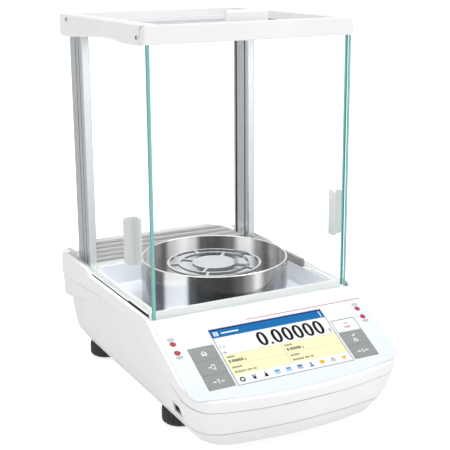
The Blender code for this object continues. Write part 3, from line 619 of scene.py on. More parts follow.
def glass_edge(name, axis, start, end):
    """Polished pane edge in the green of the glass, with painted shade from deep on one side to paler on the
    other, and a faint painted glow.
    """
    finish = Finish(name)
    # Painted shade across the edge, from the start to the end of the given axis.
    across = finish.ranged(finish.axes(finish.place)[axis], 0.0, 1.0, start, end)
    band = finish.noise(1.0, 2.0, 0.5, finish.stretched((900, 900, 9)))
    drift = finish.math("ADD", across, finish.ranged(band, -0.2, 0.2))
    tone = finish.blend(finish.ranged(drift, 0.0, 1.0, 0.25, 0.95), (0.03, 0.20, 0.18), (0.20, 0.48, 0.45))
    normal = finish.bump(band, 0.01 * MM, 0.3)
    # A faint painted glow, though the edge is no lamp.
    finish.feed(finish.shader, Coat_Weight=0.4, Emission_Strength=0.1, Emission_Color=tone)
    return finish.surface(tone, 0.18, Normal=normal)


def lit(name, colour, strength=0.85):
    """A lit area of the screen under its cover film, with a faint grid of pixels."""
    finish = Finish(name)
    grid = finish.feed(finish.add("ShaderNodeTexChecker"), Vector=finish.place, Scale=3800.0)
    tone = finish.blend(finish.math("MULTIPLY", grid.outputs["Fac"], 0.04), colour, shade(colour, 0.8))
    finish.feed(finish.shader, Emission_Strength=strength, Specular_IOR_Level=0.12)
    return finish.surface(shade(colour, 0.12), 0.3, Emission_Color=tone)


def printed(name, colour, roughness=0.4):
    """Screen-printed ink or film: a fine mesh texture over an even colour."""
    finish = Finish(name)
    weave = finish.noise(3000.0, 1.0)
    gloss = finish.ranged(weave, roughness - 0.04, roughness + 0.04)
    tone = finish.drift(25.0, colour, 0.985, 1.01)
    return finish.surface(tone, gloss, Normal=finish.bump(weave, 0.01 * MM, 0.3))


def board(name):
    """Solder resist over copper tracks, with pads."""
    finish = Finish(name)
    tracks = finish.add("ShaderNodeTexBrick")
    finish.feed(tracks, Vector=finish.stretched((90, 90, 90)), Scale=1.0)
    finish.feed(tracks, Color1=(0.02, 0.16, 0.07), Color2=(0.03, 0.2, 0.09), Mortar=(0.05, 0.3, 0.13))
    cells = finish.feed(finish.add("ShaderNodeTexVoronoi"), Vector=finish.place, Scale=260.0)
    pads = finish.ranged(cells.outputs["Distance"], 1.0, 0.0, 0.10, 0.14)
    tone = finish.blend(pads, tracks.outputs["Color"], (0.7, 0.6, 0.35))
    return finish.surface(tone, 0.4, Metallic=finish.math("MULTIPLY", pads, 0.8))


HOUSING = moulded("housing_white", (0.86, 0.86, 0.87), 0.42, 0.25)
FRAME_WHITE = moulded("frame_white", (0.87, 0.87, 0.885), 0.38, 0.25)
LOWER = moulded("housing_lower_white", (0.84, 0.845, 0.84), 0.44, 0.3)
PALE = moulded("chamber_pale_grey", (0.88, 0.91, 0.905), 0.38, 0.3)
# A darker copy of the pale grey: painted shade for the upward faces of the chamber frame.
PALE_TOP_PAINTED_SHADE = moulded("rail_pale_grey_painted_shade", (0.66, 0.685, 0.68), 0.38, 0.3)
# The tray's last colour is painted shade under the pan, inside the draught ring.
TRAY = moulded("tray_blue_grey", (0.84, 0.875, 0.92), 0.3, 0.15, 0.3, (0.09, 0.09, 0.10))
TAUPE = moulded("baffle_taupe", (0.48, 0.475, 0.47), 0.35, 0.3, 0.2)
TAUPE_DARK = moulded("sill_taupe", (0.29, 0.285, 0.265), 0.4, 0.3, 0.2)
# Painted shade: grey for the faces in the gap at the parting line.
SEAM_PAINTED_SHADE = moulded("seam_painted_shade", (0.6, 0.6, 0.6), 0.6, 0.2)
# Painted shade: near black for the shadow gap beside the chamber frame and the grooves of the posts.
GROOVE_PAINTED_SHADE = moulded("groove_painted_shade", (0.03, 0.03, 0.032), 0.6, 0.2)
# Painted shade: mid grey for the small faces of the crease groove.
CREASE_PAINTED_SHADE = moulded("crease_painted_shade", (0.50, 0.50, 0.50), 0.5, 0.2)
# Painted shade: grey for the top frame's front rim, in its joint with the front bar.
JOINT_PAINTED_SHADE = moulded("joint_painted_shade", (0.66, 0.66, 0.67), 0.5, 0.2)
GRIP = moulded("grip_grey", (0.62, 0.645, 0.645), 0.3, 0.2, 0.3)
ALUMINIUM = extruded("satin_aluminium", (0.74, 0.765, 0.79), 0.32, 0.45)
# A darker copy of the satin aluminium: painted shade for the posts' sides.
ALUMINIUM_PAINTED_SHADE = extruded("satin_aluminium_painted_shade", (0.51, 0.54, 0.565), 0.28)
# Ring steel with painted reflections in its colour and a painted glow inside.
STEEL_PAINTED_REFLECTIONS = steel_with_painted_reflections("ring_steel_painted_reflections", 0.10)
RIM_STEEL = polished("rim_steel", (0.93, 0.935, 0.94), 0.12, (60, 60, 2600))
SPINDLE_STEEL = polished("spindle_steel", (0.45, 0.45, 0.45), 0.2, (60, 60, 5200))
PAN_STEEL = polished("pan_steel", (0.70, 0.725, 0.745), 0.12, (2600, 40, 40))
CAST = cast("cast_aluminium", (0.55, 0.56, 0.57))
GLASS = clear_glass("clear_glass")
GLASS_TOP = clear_glass("top_clear_glass", (0.815, 0.815, 0.835))
EDGE_FRONT = glass_edge("front_glass_edge", 1, -73 * MM, -76.4 * MM)
EDGE_LEFT = glass_edge("left_glass_edge", 0, -92 * MM, -95.4 * MM)
EDGE_RIGHT = glass_edge("right_glass_edge", 0, 95.4 * MM, 92 * MM)
EDGE_TOP = glass_edge("top_glass_edge", 2, 336 * MM, 339.4 * MM)
OVERLAY = printed("overlay_white", (0.69, 0.735, 0.785), 0.33)
KEY_GREY = printed("key_grey", (0.24, 0.255, 0.25), 0.45)
KEY_WHITE = printed("key_white", (0.78, 0.80, 0.82), 0.4)
INK_WHITE = printed("ink_white", (0.85, 0.86, 0.87), 0.4)
INK_GREY = printed("ink_grey", (0.30, 0.30, 0.30), 0.4)
INK_RED = printed("ink_red", (0.42, 0.004, 0.010), 0.4)
INK_DARK = printed("ink_dark", (0.05, 0.05, 0.055), 0.4)
SENSOR = moulded("sensor_red", (0.46, 0.006, 0.010), 0.2, 0.05, 0.3)
BLACK = moulded("black_plastic", (0.025, 0.025, 0.028), 0.45, 0.6)
FOOT = moulded("foot_black", (0.022, 0.022, 0.025), 0.42, 0.8)
BOARD = board("circuit_board")
BRASS = polished("brass", (0.80, 0.62, 0.28), 0.22, (60, 4000, 60))
ZINC = polished("zinc", (0.50, 0.50, 0.48), 0.28, (900, 900, 900))
VIAL = moulded("vial_green", (0.45, 0.72, 0.12), 0.05, 0.0, 1.0)


# ---------------------------------------------------------------- housing lines


def parting_z(y):
    """The line between the two housings."""
    climb = min(max((y + 165 * MM) / (160 * MM), 0.0), 1.0)
    rise = PARTING_RISE * math.sin(climb * math.pi / 2)
    return PARTING_FRONT_Z + rise - PARTING_DROP * smooth_step((y - 20 * MM) / (100 * MM))


def overhang_z(y):
    edge = OVERHANG_Z + 15.3 * MM * smooth_step((129 * MM - y) / (73 * MM))
    return min(edge, parting_z(y) - 3 * MM)


def slope_z(y):
    return PANEL_TOP_Z + (y - PANEL_TOP_Y) * math.tan(PANEL_SLOPE)


def top_z(y):
    """Height of the upper housing's top: slope, side deck, its step, and the rear deck's fall."""
    if y <= PANEL_TOP_Y:
        return slope_z(y)
    level = PANEL_TOP_Z + (DECK_Z - PANEL_TOP_Z) * smooth_step((y - PANEL_TOP_Y) / (4 * MM))
    level += (REAR_DECK_Z - DECK_Z) * smooth_step((y - 54 * MM) / (16 * MM))
    back = min(max((y - 112 * MM) / (56 * MM), 0.0), 1.0)
    return level - 16 * MM * (1 - (1 - back**4) ** 0.62)


SIDE_ROWS = sorted(
    spread(-132 * MM, -80 * MM, 5.2 * MM)
    + [PANEL_TOP_Y, -77 * MM, -76 * MM, -75 * MM, -74 * MM]
    + spread(-68 * MM, 50 * MM, 6 * MM)
    + spread(54 * MM, 70 * MM, 2 * MM)
    + spread(76 * MM, 128 * MM, 4 * MM)
)


def hull(half_width, inset=0.0, front=None, back=None, rows=None):
    front = -HALF_LENGTH if front is None else front
    back = HALF_LENGTH if back is None else back
    half = half_plan(
        half_width - inset,
        front + inset,
        back - inset,
        24 * MM - inset / 2,
        36 * MM - inset,
        10 * MM,
        rows or SIDE_ROWS,
    )
    return whole(half)


def side_taper(z):
    """Half width of the upper housing at a height."""
    stations = [(0.0, 101.0), (40.0, 101.0), (75.0, 102.8), (98.0, 103.0), (130.0, 101.8)]
    z = z / MM
    for (z0, w0), (z1, w1) in zip(stations, stations[1:]):
        if z <= z1:
            return (w0 + (w1 - w0) * (z - z0) / (z1 - z0)) * MM
    return stations[-1][1] * MM


def edge_radius(y):
    """The rounding of the top edge: fine beside the display and the chamber, fuller at the back."""
    return 2.2 * MM + 2.4 * MM * smooth_step((y - 60 * MM) / (40 * MM))


def upper_ring(inset, level):
    """A ring of the upper housing at heights given by a function of y, drawn in with the sides' taper."""
    points = []
    for x, y in hull(HALF_WIDTH, inset):
        z = level(y)
        points.append(Vector((x * side_taper(z) / HALF_WIDTH, y, z)))
    return points


def upper_skin():
    rings = []
    for share in (0.0, 0.12, 0.5, 0.88, 1.0):

        def wall(y, share=share):
            low = parting_z(y) + GAP
            return low + (top_z(y) - edge_radius(y) - low) * share

        rings.append(upper_ring(0.0, wall))
    steps = 6
    for step in range(1, steps + 1):
        angle = math.radians(90 * step / steps)
        points = []
        for outer, (x, y) in zip(rings[-step], hull(HALF_WIDTH, 0.0)):
            radius = edge_radius(y)
            inner = hull_at(radius * (1 - math.cos(angle)), len(points))
            z = top_z(inner[1]) - radius * (1 - math.sin(angle))
            points.append(Vector((inner[0] * side_taper(z) / HALF_WIDTH, inner[1], z)))
        rings.append(points)
    return loft("upper_skin", rings)


HULLS = {}


def hull_at(inset, index):
    """One point of the housing's outline at an inset. Outlines are kept, because each is asked for often."""
    key = round(inset / (0.02 * MM))
    if key not in HULLS:
        HULLS[key] = hull(HALF_WIDTH, key * 0.02 * MM)
    return HULLS[key][index]


def overlay_outline(margin=0.0):
    rows = spread(-72 * MM, -8 * MM, 16 * MM)
    half = half_plan(
        PANEL_HALF_WIDTH + margin, -PANEL_LENGTH - margin, margin, 10 * MM, 3 * MM, PANEL_BOW, rows
    )
    return whole(half)


def upper_housing():
    shell = upper_skin()

    def ceiling(y):
        return 100 * MM if y > 118 * MM else top_z(y) - 5 * MM

    inside = [upper_ring(SHELL, lambda y: 40 * MM), upper_ring(SHELL, ceiling)]
    combine(shell, loft("upper_inside", inside))
    low, high = CHAMBER
    margin = 1.5 * MM
    opening = ((low.x - margin, low.y - 0.7 * MM, 70 * MM), (high.x + margin, high.y + 0.5 * MM, 150 * MM))
    combine(shell, box("opening", *opening))
    combine(shell, slab("recess", overlay_outline(GAP), -1.3 * MM, 10 * MM, panel_matrix()))
    window = rounded_rectangle(-84.5 * MM, -84.5 * MM, 84.5 * MM, -17.5 * MM, 2 * MM)
    combine(shell, slab("window", window, -12 * MM, 10 * MM, panel_matrix()))
    for side in (-1, 1):
        x0, x1 = sorted((side * 91.3 * MM, side * 96.1 * MM))
        combine(shell, box("channel", (x0, 100 * MM, 104.2 * MM), (x1, 180 * MM, 150 * MM)))
        for s in SENSOR_S:
            hole = circle(SENSOR_RADIUS + GAP, 32, (side * SENSOR_X, -s))
            combine(shell, slab("sensor_bore", hole, -12 * MM, 10 * MM, panel_matrix()))
    combine(shell, rod("level_pocket", 9.3 * MM, (0, 142 * MM, 103.5 * MM), (0, 142 * MM, 130 * MM)))
    shell.name = "upper_housing_shell"
    # Downward faces at the parting line take the seam grey, painted shade in the gap.
    for face in shell.data.polygons:
        face.material_index = int(face.normal.z < -0.8 and face.center.z < parting_z(face.center.y) + 2 * MM)
    return piece(shell, [HOUSING, SEAM_PAINTED_SHADE], "base", "housing_white", "upper_housing")


def lower_housing():
    """The lower band, from the base plate up to the parting line, with a soft crease and a rear overhang."""
    rows = spread(-124 * MM, 112 * MM, 6 * MM)

    def waisted(outline, pull):
        result = []
        for x, y in outline:
            amount = pull * smooth_step((y - 20 * MM) / (70 * MM))
            scale_x = 1 - amount / HALF_WIDTH
            result.append((x * scale_x, y - amount * max(0.0, y) / HALF_LENGTH))
        return result

    def ring(half, front, back, level, pull=0.0, inset=0.0):
        return lift(waisted(hull(half * MM, inset, front * MM, back * MM, rows), pull * MM), level)

    def mid_z(y):
        return CREASE_Z + 0.45 * (overhang_z(y) - CREASE_Z)

    def rim(y):
        return parting_z(y) - 1.2 * GAP

    bottom = (81, -158, 151)
    crease = (91.2, -164.8, 158)
    middle = (96.5, -166.0, 162)
    under = (101.0, -166.2, 165.5)
    keys = [
        ring(*bottom, 18 * MM),
        ring(*crease, CREASE_Z),
        ring(*middle, mid_z, 1.5),
        ring(*under, overhang_z, 5.5),
    ]
    groove = ring(90.2, -163.8, 157.0, CREASE_Z - 0.4 * MM)
    below = ring(90.8, -164.4, 157.6, CREASE_Z - 0.8 * MM)
    outer = [keys[0], [a.lerp(b, 0.5) for a, b in zip(keys[0], below)], below, groove, keys[1]]
    for i in range(1, 9):
        t = i / 8
        bow = [
            a * (1 - t) * (1 - t) + m * (2 * t * (1 - t)) + b * t * t
            for a, m, b in zip(keys[1], keys[2], keys[3])
        ]
        outer.append(bow)
    outer.append(ring(101.6, -166.3, 166.0, lambda y: overhang_z(y) + 0.6 * MM))
    outer.append(ring(102.0, -166.35, 166.15, lambda y: (overhang_z(y) + rim(y)) / 2))
    outer.append(ring(102.4, -166.4, 166.3, rim))
    thick = SHELL - 0.4 * MM
    inner = [
        ring(102.4, -166.4, 166.3, rim, inset=thick),
        ring(*under, overhang_z, 5.5, thick),
        ring(*middle, mid_z, 1.5, thick),
        ring(*crease, CREASE_Z, inset=thick),
        ring(*bottom, 18 * MM, inset=thick),
    ]
    shell = loft("lower_housing_shell", outer + inner, closed=True)
    rounded(shell, 0.35 * MM, 2, 25)
    low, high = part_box("rear_panel")
    rear = ((low.x - GAP, 140 * MM, low.z - GAP), (high.x + GAP, 180 * MM, high.z + GAP))
    combine(shell, box("rear_cutout", *rear))
    low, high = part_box("side_usb_port")
    side = ((-120 * MM, low.y - GAP, low.z - GAP), (-80 * MM, high.y + GAP, high.z + GAP))
    combine(shell, box("side_cutout", *side))
    for face in shell.data.polygons:
        # Upward faces at the parting line take the seam grey, painted shade in the gap.
        top = face.normal.z > 0.8 and face.center.z > parting_z(face.center.y) - 2 * MM
        # Small faces just under the crease take the crease grey, painted shade in the groove.
        crease = -0.9 * MM < face.center.z - CREASE_Z < -0.05 * MM and face.area < 8 * MM * MM
        face.material_index = 1 if top else 2 * int(crease)
    return piece(shell, [LOWER, SEAM_PAINTED_SHADE, CREASE_PAINTED_SHADE], "base", "housing_lower_white", "lower_housing", angle=12)


# ---------------------------------------------------------------- display


class Sheet:
    """Thin flat shapes on the panel, gathered into one mesh. Each shape is a closed solid of one finish."""

    def __init__(self):
        self.bm = bmesh.new()
        self.finishes = []

    def shape(self, loop, finish, low, high, hole=None):
        if finish not in self.finishes:
            self.finishes.append(finish)
        index = self.finishes.index(finish)
        loops = [loop] if hole is None else [loop, hole]
        rows = [[[self.bm.verts.new((x, y, z)) for x, y in each] for z in (low, high)] for each in loops]
        made = []
        for lower, upper in rows:
            count = len(lower)
            for i in range(count):
                j = (i + 1) % count
                made.append(self.bm.faces.new((lower[i], lower[j], upper[j], upper[i])))
        if hole is None:
            made.append(self.bm.faces.new(rows[0][0]))
            made.append(self.bm.faces.new(rows[0][1]))
        else:
            for level in (0, 1):
                outer, inner = rows[0][level], rows[1][level]
                count = len(outer)
                for i in range(count):
                    j = (i + 1) % count
                    made.append(self.bm.faces.new((outer[i], outer[j], inner[j], inner[i])))
        for face in made:
            face.material_index = index

    def done(self, name, body, slot, *stands_for):
        mesh = mesh_of(name, self.bm)
        mesh.transform(panel_matrix())
        return piece(helper(name, mesh), self.finishes, body, slot, *stands_for, angle=20)


def ribbon(points, width):
    """The outline of a line of even width through the points, mitred at its corners."""
    left, right = [], []
    for i, (x, y) in enumerate(points):
        before = points[i - 1] if i else None
        after = points[i + 1] if i + 1 < len(points) else None
        sides = []
        for start, end in ((before, (x, y)), ((x, y), after)):
            if start and end:
                dx, dy = end[0] - start[0], end[1] - start[1]
                size = math.hypot(dx, dy)
                sides.append((-dy / size, dx / size))
        nx = sum(s[0] for s in sides)
        ny = sum(s[1] for s in sides)
        size = math.hypot(nx, ny)
        nx, ny = nx / size, ny / size
        reach = width / 2 / max(0.35, nx * sides[0][0] + ny * sides[0][1])
        left.append((x + nx * reach, y + ny * reach))
        right.append((x - nx * reach, y - ny * reach))
    return right + left[::-1]


def oval(centre, half_x, half_y, count=36, power=2.0):
    """A superellipse. A power above 2 makes it squarer."""
    points = []
    for i in range(count):
        angle = math.tau * i / count
        c, s = math.cos(angle), math.sin(angle)
        x = math.copysign(abs(c) ** (2 / power), c)
        y = math.copysign(abs(s) ** (2 / power), s)
        points.append((centre[0] + half_x * x, centre[1] + half_y * y))
    return points


def rectangle(x0, y0, x1, y1):
    return [(x0, y0), (x1, y0), (x1, y1), (x0, y1)]


def zero(sheet, finish, centre, width, height, weight, low, high):
    x, y = centre
    outer = oval(centre, width / 2, height / 2, 40, 2.25)
    inner = oval((x, y), width / 2 - weight, height / 2 - 0.72 * weight, 40, 2.1)
    sheet.shape(outer, finish, low, high, inner)


def reading(sheet, finish, left, middle, height, pitch, low, high, weight=0.27):
    """A zero reading with five decimals, from its left edge. The strokes' weight is a share of the pitch."""
    width = 0.86 * pitch
    weight = weight * pitch
    x = left + pitch / 2
    for i in range(6):
        zero(sheet, finish, (x, middle), width, height, weight, low, high)
        if i == 0:
            half = 0.105 * pitch
            dot = (x + 0.68 * pitch, middle - height / 2 + half)
            mark = rectangle(dot[0] - half, dot[1] - half, dot[0] + half, dot[1] + half)
            sheet.shape(mark, finish, low, high)
            x += 0.36 * pitch
        x += pitch
    return x - pitch / 2


def gram(sheet, finish, centre, size, low, high):
    """A small letter g as the unit."""
    x, y = centre
    weight = 0.2 * size
    outer, inner = size / 2, size / 2 - weight
    sheet.shape(oval((x, y), outer, outer), finish, low, high, oval((x, y), inner, inner))
    stem = x + size / 2 - weight / 2
    hook = [(stem, y + size / 2), (stem, y - size * 0.7)]
    hook += [(x + size * 0.22, y - size), (x - size * 0.2, y - size), (x - size * 0.42, y - size * 0.82)]
    sheet.shape(ribbon(hook, weight), finish, low, high)


def screen_image():
    """The weighing page: title bar, reading, two rows of fields and a row of small signs."""
    blue = lit("screen_blue", (0.002, 0.17, 0.48))
    navy = lit("screen_navy", (0.02, 0.03, 0.16))
    page = lit("screen_page", (0.97, 0.99, 0.99), 0.86)
    cream = lit("screen_cream", (1.0, 0.98, 0.62), 0.86)
    rule = lit("screen_rule", (0.88, 0.80, 0.42), 0.7)
    ink = lit("screen_ink", (0.004, 0.004, 0.004), 0.5)
    sky = lit("screen_sky", (0.05, 0.38, 0.75))
    amber = lit("screen_amber", (0.95, 0.50, 0.03))
    grey = lit("screen_grey", (0.22, 0.24, 0.24))
    frame_dark = moulded("screen_frame", (0.09, 0.10, 0.11), 0.35, 0.2)
    width = 2 * SCREEN_HALF_WIDTH
    height = SCREEN_BOTTOM_S - SCREEN_TOP_S
    margin = 0.45 * MM
    base, film, mark, top = -0.10 * MM, -0.06 * MM, -0.03 * MM, -0.005 * MM
    fill = (base + 0.01 * MM, film)
    ink_at = (film + 0.005 * MM, mark)

    def at(u, v):
        """A place on the page, from its top left corner, as shares of its width and height."""
        x = -SCREEN_HALF_WIDTH + margin + u * (width - 2 * margin)
        y = -SCREEN_TOP_S - margin - v * (height - 2 * margin)
        return x, y

    def area(u0, v0, u1, v1, finish, low, high):
        x0, y0 = at(u0, v1)
        x1, y1 = at(u1, v0)
        sheet.shape(rectangle(x0, y0, x1, y1), finish, low, high)

    def word(x, y, counts):
        """Small rounds in groups, which stand for a line of text."""
        for count in counts:
            for _ in range(count):
                zero(sheet, ink, (x + 0.7 * MM, y), 1.3 * MM, 1.9 * MM, 0.42 * MM, *ink_at)
                x += 1.5 * MM
            x += 1.1 * MM

    sheet = Sheet()
    depth = -3.7 * MM
    edge = rectangle(-SCREEN_HALF_WIDTH, -SCREEN_BOTTOM_S, SCREEN_HALF_WIDTH, -SCREEN_TOP_S)
    sheet.shape(edge, frame_dark, depth, base)
    bar = 0.155
    fields = 0.475
    row = 0.655
    signs = 0.842
    area(0, 0, 1, 0.022, navy, *fill)
    area(0, 0.022, 1, bar, blue, *fill)
    area(0, bar, 1, fields, page, *fill)
    area(0, fields, 1, signs, cream, *fill)
    area(0, signs, 1, 1, page, *fill)
    lines = ((0, fields, 1, fields + 0.006), (0, row, 1, row + 0.005), (0.498, fields, 0.502, signs))
    for u0, v0, u1, v1 in lines:
        area(u0, v0, u1, v1, rule, *ink_at)
    for v in (0.045, 0.082, 0.119):
        sheet.shape(oval(at(0.975, v), 0.75 * MM, 0.75 * MM, 20), page, *ink_at)
    x, y = at(0.04, 0.085)
    tile = rounded_rectangle(x - 2.2 * MM, y - 2.2 * MM, x + 2.2 * MM, y + 2.2 * MM, 0.5 * MM, 3)
    sheet.shape(tile, page, *ink_at)
    for i in range(3):
        level = y + (1 - i) * 1.2 * MM
        strip = rectangle(x - 1.5 * MM, level - 0.3 * MM, x + 1.5 * MM, level + 0.3 * MM)
        sheet.shape(strip, sky, mark + 0.003 * MM, top)
    area(0.085, 0.075, 0.235, 0.098, page, *ink_at)
    x, y = at(0.335, 0.318)
    reading(sheet, ink, x, y, 15.2 * MM, 10.4 * MM, *ink_at)
    gram(sheet, ink, (at(0.972, 0)[0], at(0, 0.395)[1]), 2.2 * MM, *ink_at)
    x, y = at(0.035, 0.32)
    for side in (-1, 1):
        back = x + side * 2.4 * MM
        tip = [(x + side * 0.6 * MM, y), (back, y + 0.7 * MM), (back, y - 0.7 * MM)]
        sheet.shape(tip, ink, *ink_at)
    x, y = at(0.03, 0.43)
    hole = oval((x, y), 0.5 * MM, 0.7 * MM, 20)
    sheet.shape(oval((x, y), 0.9 * MM, 1.1 * MM, 20), ink, *ink_at, hole)
    for side in (-1, 1):
        dash = ribbon([(x + side * 1.4 * MM, y), (x + side * 2.6 * MM, y)], 0.4 * MM)
        sheet.shape(dash, ink, *ink_at)
    for u in (0.022, 0.522):
        word(*at(u, 0.517), (5,))
        x, y = at(u, 0.592)
        end = reading(sheet, ink, x, y, 3.1 * MM, 2.15 * MM, *ink_at, 0.33)
        gram(sheet, ink, (end + 1.6 * MM, y - 0.35 * MM), 1.5 * MM, *ink_at)
        word(*at(u, 0.703), (6,))
        word(*at(u, 0.785), (7, 3, 2))
    tones = (ink, navy, ink, sky, sky, blue, blue, amber, grey, amber)
    for i, tone in enumerate(tones):
        sign(sheet, i, at(0.052 + 0.0985 * i, 0.922), tone, page, *ink_at, top)
    return sheet.done("screen_image", "base", "screen", "lcd_screen")


def sign(sheet, kind, centre, tone, paper, low, middle, high):
    """One of the small signs in the bottom row."""
    scale = 1.22 * MM
    x, y = centre

    def block(points, finish=tone, bottom=low, top=middle):
        sheet.shape([(x + a * scale, y + b * scale) for a, b in points], finish, bottom, top)

    def disc(a, b, half_x, half_y):
        at = (x + a * scale, y + b * scale)
        sheet.shape(oval(at, half_x * scale, half_y * scale, 24), tone, low, middle)

    def hoop(a, b, radius, inner):
        at = (x + a * scale, y + b * scale)
        outer, hole = oval(at, radius * scale, radius * scale), oval(at, inner * scale, inner * scale)
        sheet.shape(outer, tone, low, middle, hole)

    if kind == 0:
        hoop(0, 0, 2.0, 1.05)
    elif kind == 1:
        block([(-1.3, 0.6), (-1.0, -1.8), (1.0, -1.8), (1.3, 0.6)])
        block([(-1.6, 1.0), (1.6, 1.0), (1.6, 1.7), (-1.6, 1.7)])
    elif kind == 2:
        block([(-1.5, -1.8), (1.5, -1.8), (0.8, 0.6), (-0.8, 0.6)])
        hoop(0, 1.3, 0.8, 0.4)
    elif kind in (3, 4, 5):
        block([(-1.9, -1.7), (1.9, -1.7), (1.9, 1.8), (-1.9, 1.8)])
        for a in (-1.15, 0, 1.15):
            for b in (-1.2, -0.1):
                block(rectangle(a - 0.4, b - 0.35, a + 0.4, b + 0.35), paper, middle + 0.003 * MM, high)
    elif kind == 6:
        disc(0, 0.9, 0.85, 0.95)
        block([(-1.6, -1.8), (1.6, -1.8), (1.1, -0.4), (-1.1, -0.4)])
    elif kind == 7:
        block(rounded_rectangle(-1.9, -1.0, 1.9, 1.7, 0.8, 4))
        block([(-1.0, -1.9), (0.4, -1.1), (-1.2, -1.1)])
    elif kind == 8:
        hoop(-1.0, -0.5, 0.9, 0.5)
        hoop(1.0, -0.5, 0.9, 0.5)
        block([(-1.7, 0.7), (1.7, 0.7), (0.8, 1.5), (-0.8, 1.5)])
    else:
        block([(-1.2, -0.9), (1.4, -0.9), (1.8, 1.2), (-1.8, 1.2)])
        disc(-0.8, -1.6, 0.45, 0.45)
        disc(0.9, -1.6, 0.45, 0.45)


def overlay():
    gap = 0.2 * MM
    half = SCREEN_HALF_WIDTH + gap
    holes = [rounded_rectangle(-half, -SCREEN_BOTTOM_S - gap, half, -SCREEN_TOP_S + gap, 0.6 * MM, 3)]
    holes += [key_rectangle(side, row, gap) for _, side, row in key_places()]
    for side in (-1, 1):
        holes += [circle(SENSOR_RADIUS + gap, 32, (side * SENSOR_X, -s)) for s in SENSOR_S]
    film = slab("display_film", overlay_outline(), -1.0 * MM, 0.0, panel_matrix(), holes)
    rounded(film, 0.08 * MM, 2, 60)
    return piece(film, OVERLAY, "base", "overlay_white", "panel_overlay")


def panel_print():
    """Ink on the film: a red rule above the display, and a grey oval with white bars by each sensor."""
    sheet = Sheet()
    low, high = 0.005 * MM, 0.035 * MM
    rule = 16.6 * MM
    line = rectangle(-17 * MM, -rule - 0.35 * MM, 99.2 * MM, -rule + 0.35 * MM)
    sheet.shape(line, INK_RED, low, high)
    for side in (-1, 1):
        for s in (SENSOR_S[0] - 5.0 * MM, SENSOR_S[1] + 5.0 * MM):
            sheet.shape(oval((side * SENSOR_X, -s), 3.1 * MM, 1.7 * MM), INK_GREY, low, high)
            for offset in (-0.6, 0.2, 1.0):
                y = -s + (offset - 0.2) * MM
                x = side * SENSOR_X
                bar = rectangle(x - 2.0 * MM, y - 0.12 * MM, x + 2.0 * MM, y + 0.12 * MM)
                sheet.shape(bar, INK_WHITE, high + 0.002 * MM, high + 0.01 * MM)
    return sheet.done("panel_print", "base", "overlay_white")


def key_places():
    """(name, side, row) of each key, from the top of each column."""
    names = (("home", "print", "tare"), ("power", "enter", "zero"))
    for side, column in zip((-1, 1), names):
        for row, name in enumerate(column):
            yield name, side, row


def key_rectangle(side, row, margin=0.0):
    x0, x1 = sorted((side * KEY_X[0], side * KEY_X[1]))
    top = -(KEY_TOP_S + row * KEY_PITCH)
    return rounded_rectangle(
        x0 - margin, top - KEY_HEIGHT - margin, x1 + margin, top + margin, 0.6 * MM + margin, 3
    )


def arrow(sheet, x, y, aim, low, high):
    """A short arrow whose tip points along aim, 1 to the right."""
    sheet.shape(ribbon([(x - aim * 2.0 * MM, y), (x, y)], 0.62 * MM), INK_WHITE, low, high)
    tip = [(x + aim * 1.5 * MM, y), (x - aim * 0.1 * MM, y + 1.0 * MM), (x - aim * 0.1 * MM, y - 1.0 * MM)]
    sheet.shape(tip, INK_WHITE, low, high)


def key_sign(sheet, name, x, y, low, high):
    scale = 1.15 * MM

    def stroke(points, finish=INK_WHITE, width=0.62 * MM):
        sheet.shape(ribbon([(x + a * scale, y + b * scale) for a, b in points], width), finish, low, high)

    if name == "home":
        stroke([(-2.4, -0.2), (0, 2.0), (2.4, -0.2)])
        left = [(-1.5, 0.4), (-1.5, -1.8), (-0.5, -1.8), (-0.5, -0.4)]
        stroke(left + [(-a, b) for a, b in reversed(left)])
    elif name == "print":
        stroke([(0.9, 1.0), (0.9, 2.0), (2.9, 2.0), (2.9, -2.0), (0.9, -2.0), (0.9, -1.0)])
        arrow(sheet, x - 0.7 * MM, y, 1, low, high)
    elif name == "tare":
        stroke([(-1.1, 1.6), (1.1, 1.6)])
        stroke([(0, 1.4), (0, -1.6)])
        arrow(sheet, x - 3.4 * MM, y, 1, low, high)
        arrow(sheet, x + 3.4 * MM, y, -1, low, high)
    elif name == "enter":
        stroke([(1.6, 4.2), (1.6, 2.4), (-0.2, 2.4)])
        tip = [(x - 1.6 * MM, y + 2.4 * MM), (x - 0.1 * MM, y + 3.2 * MM), (x - 0.1 * MM, y + 1.6 * MM)]
        sheet.shape(tip, INK_WHITE, low, high)
        stroke([(-1.5, -2.0), (-1.5, -3.4), (1.5, -3.4), (1.5, -2.0)])
        stroke([(-1.0, -2.4), (-1.0, -0.8), (1.0, -0.8), (1.0, -2.4)])
    elif name == "zero":
        sheet.shape(
            oval((x, y), 1.2 * MM, 1.7 * MM, 28), INK_WHITE, low, high, oval((x, y), 0.8 * MM, 1.25 * MM, 28)
        )
        arrow(sheet, x - 3.6 * MM, y, 1, low, high)
        arrow(sheet, x + 3.6 * MM, y, -1, low, high)
    else:
        power_words(sheet, stroke, x, y, low, high)


def power_words(sheet, stroke, x, y, low, high):
    """On in grey over off in red."""
    for left, top, finish, letters in ((-2.0, 3.0, INK_GREY, "on"), (-3.1, -0.9, INK_RED, "off")):
        centre = (x + (left + 0.9) * MM, y + (top - 1.1) * MM)
        sheet.shape(
            oval(centre, 0.95 * MM, 1.1 * MM, 28), finish, low, high, oval(centre, 0.5 * MM, 0.68 * MM, 28)
        )
        if letters == "on":
            a = left + 2.5
            stroke([(a, top - 2.2), (a, top), (a + 1.4, top - 2.2), (a + 1.4, top)], finish)
            continue
        for i in range(2):
            a = left + 2.6 + 2.0 * i
            stroke([(a, top - 2.2), (a, top - 0.2), (a + 1.5, top - 0.2)], finish)
            stroke([(a + 0.2, top - 1.15), (a + 1.2, top - 1.15)], finish)


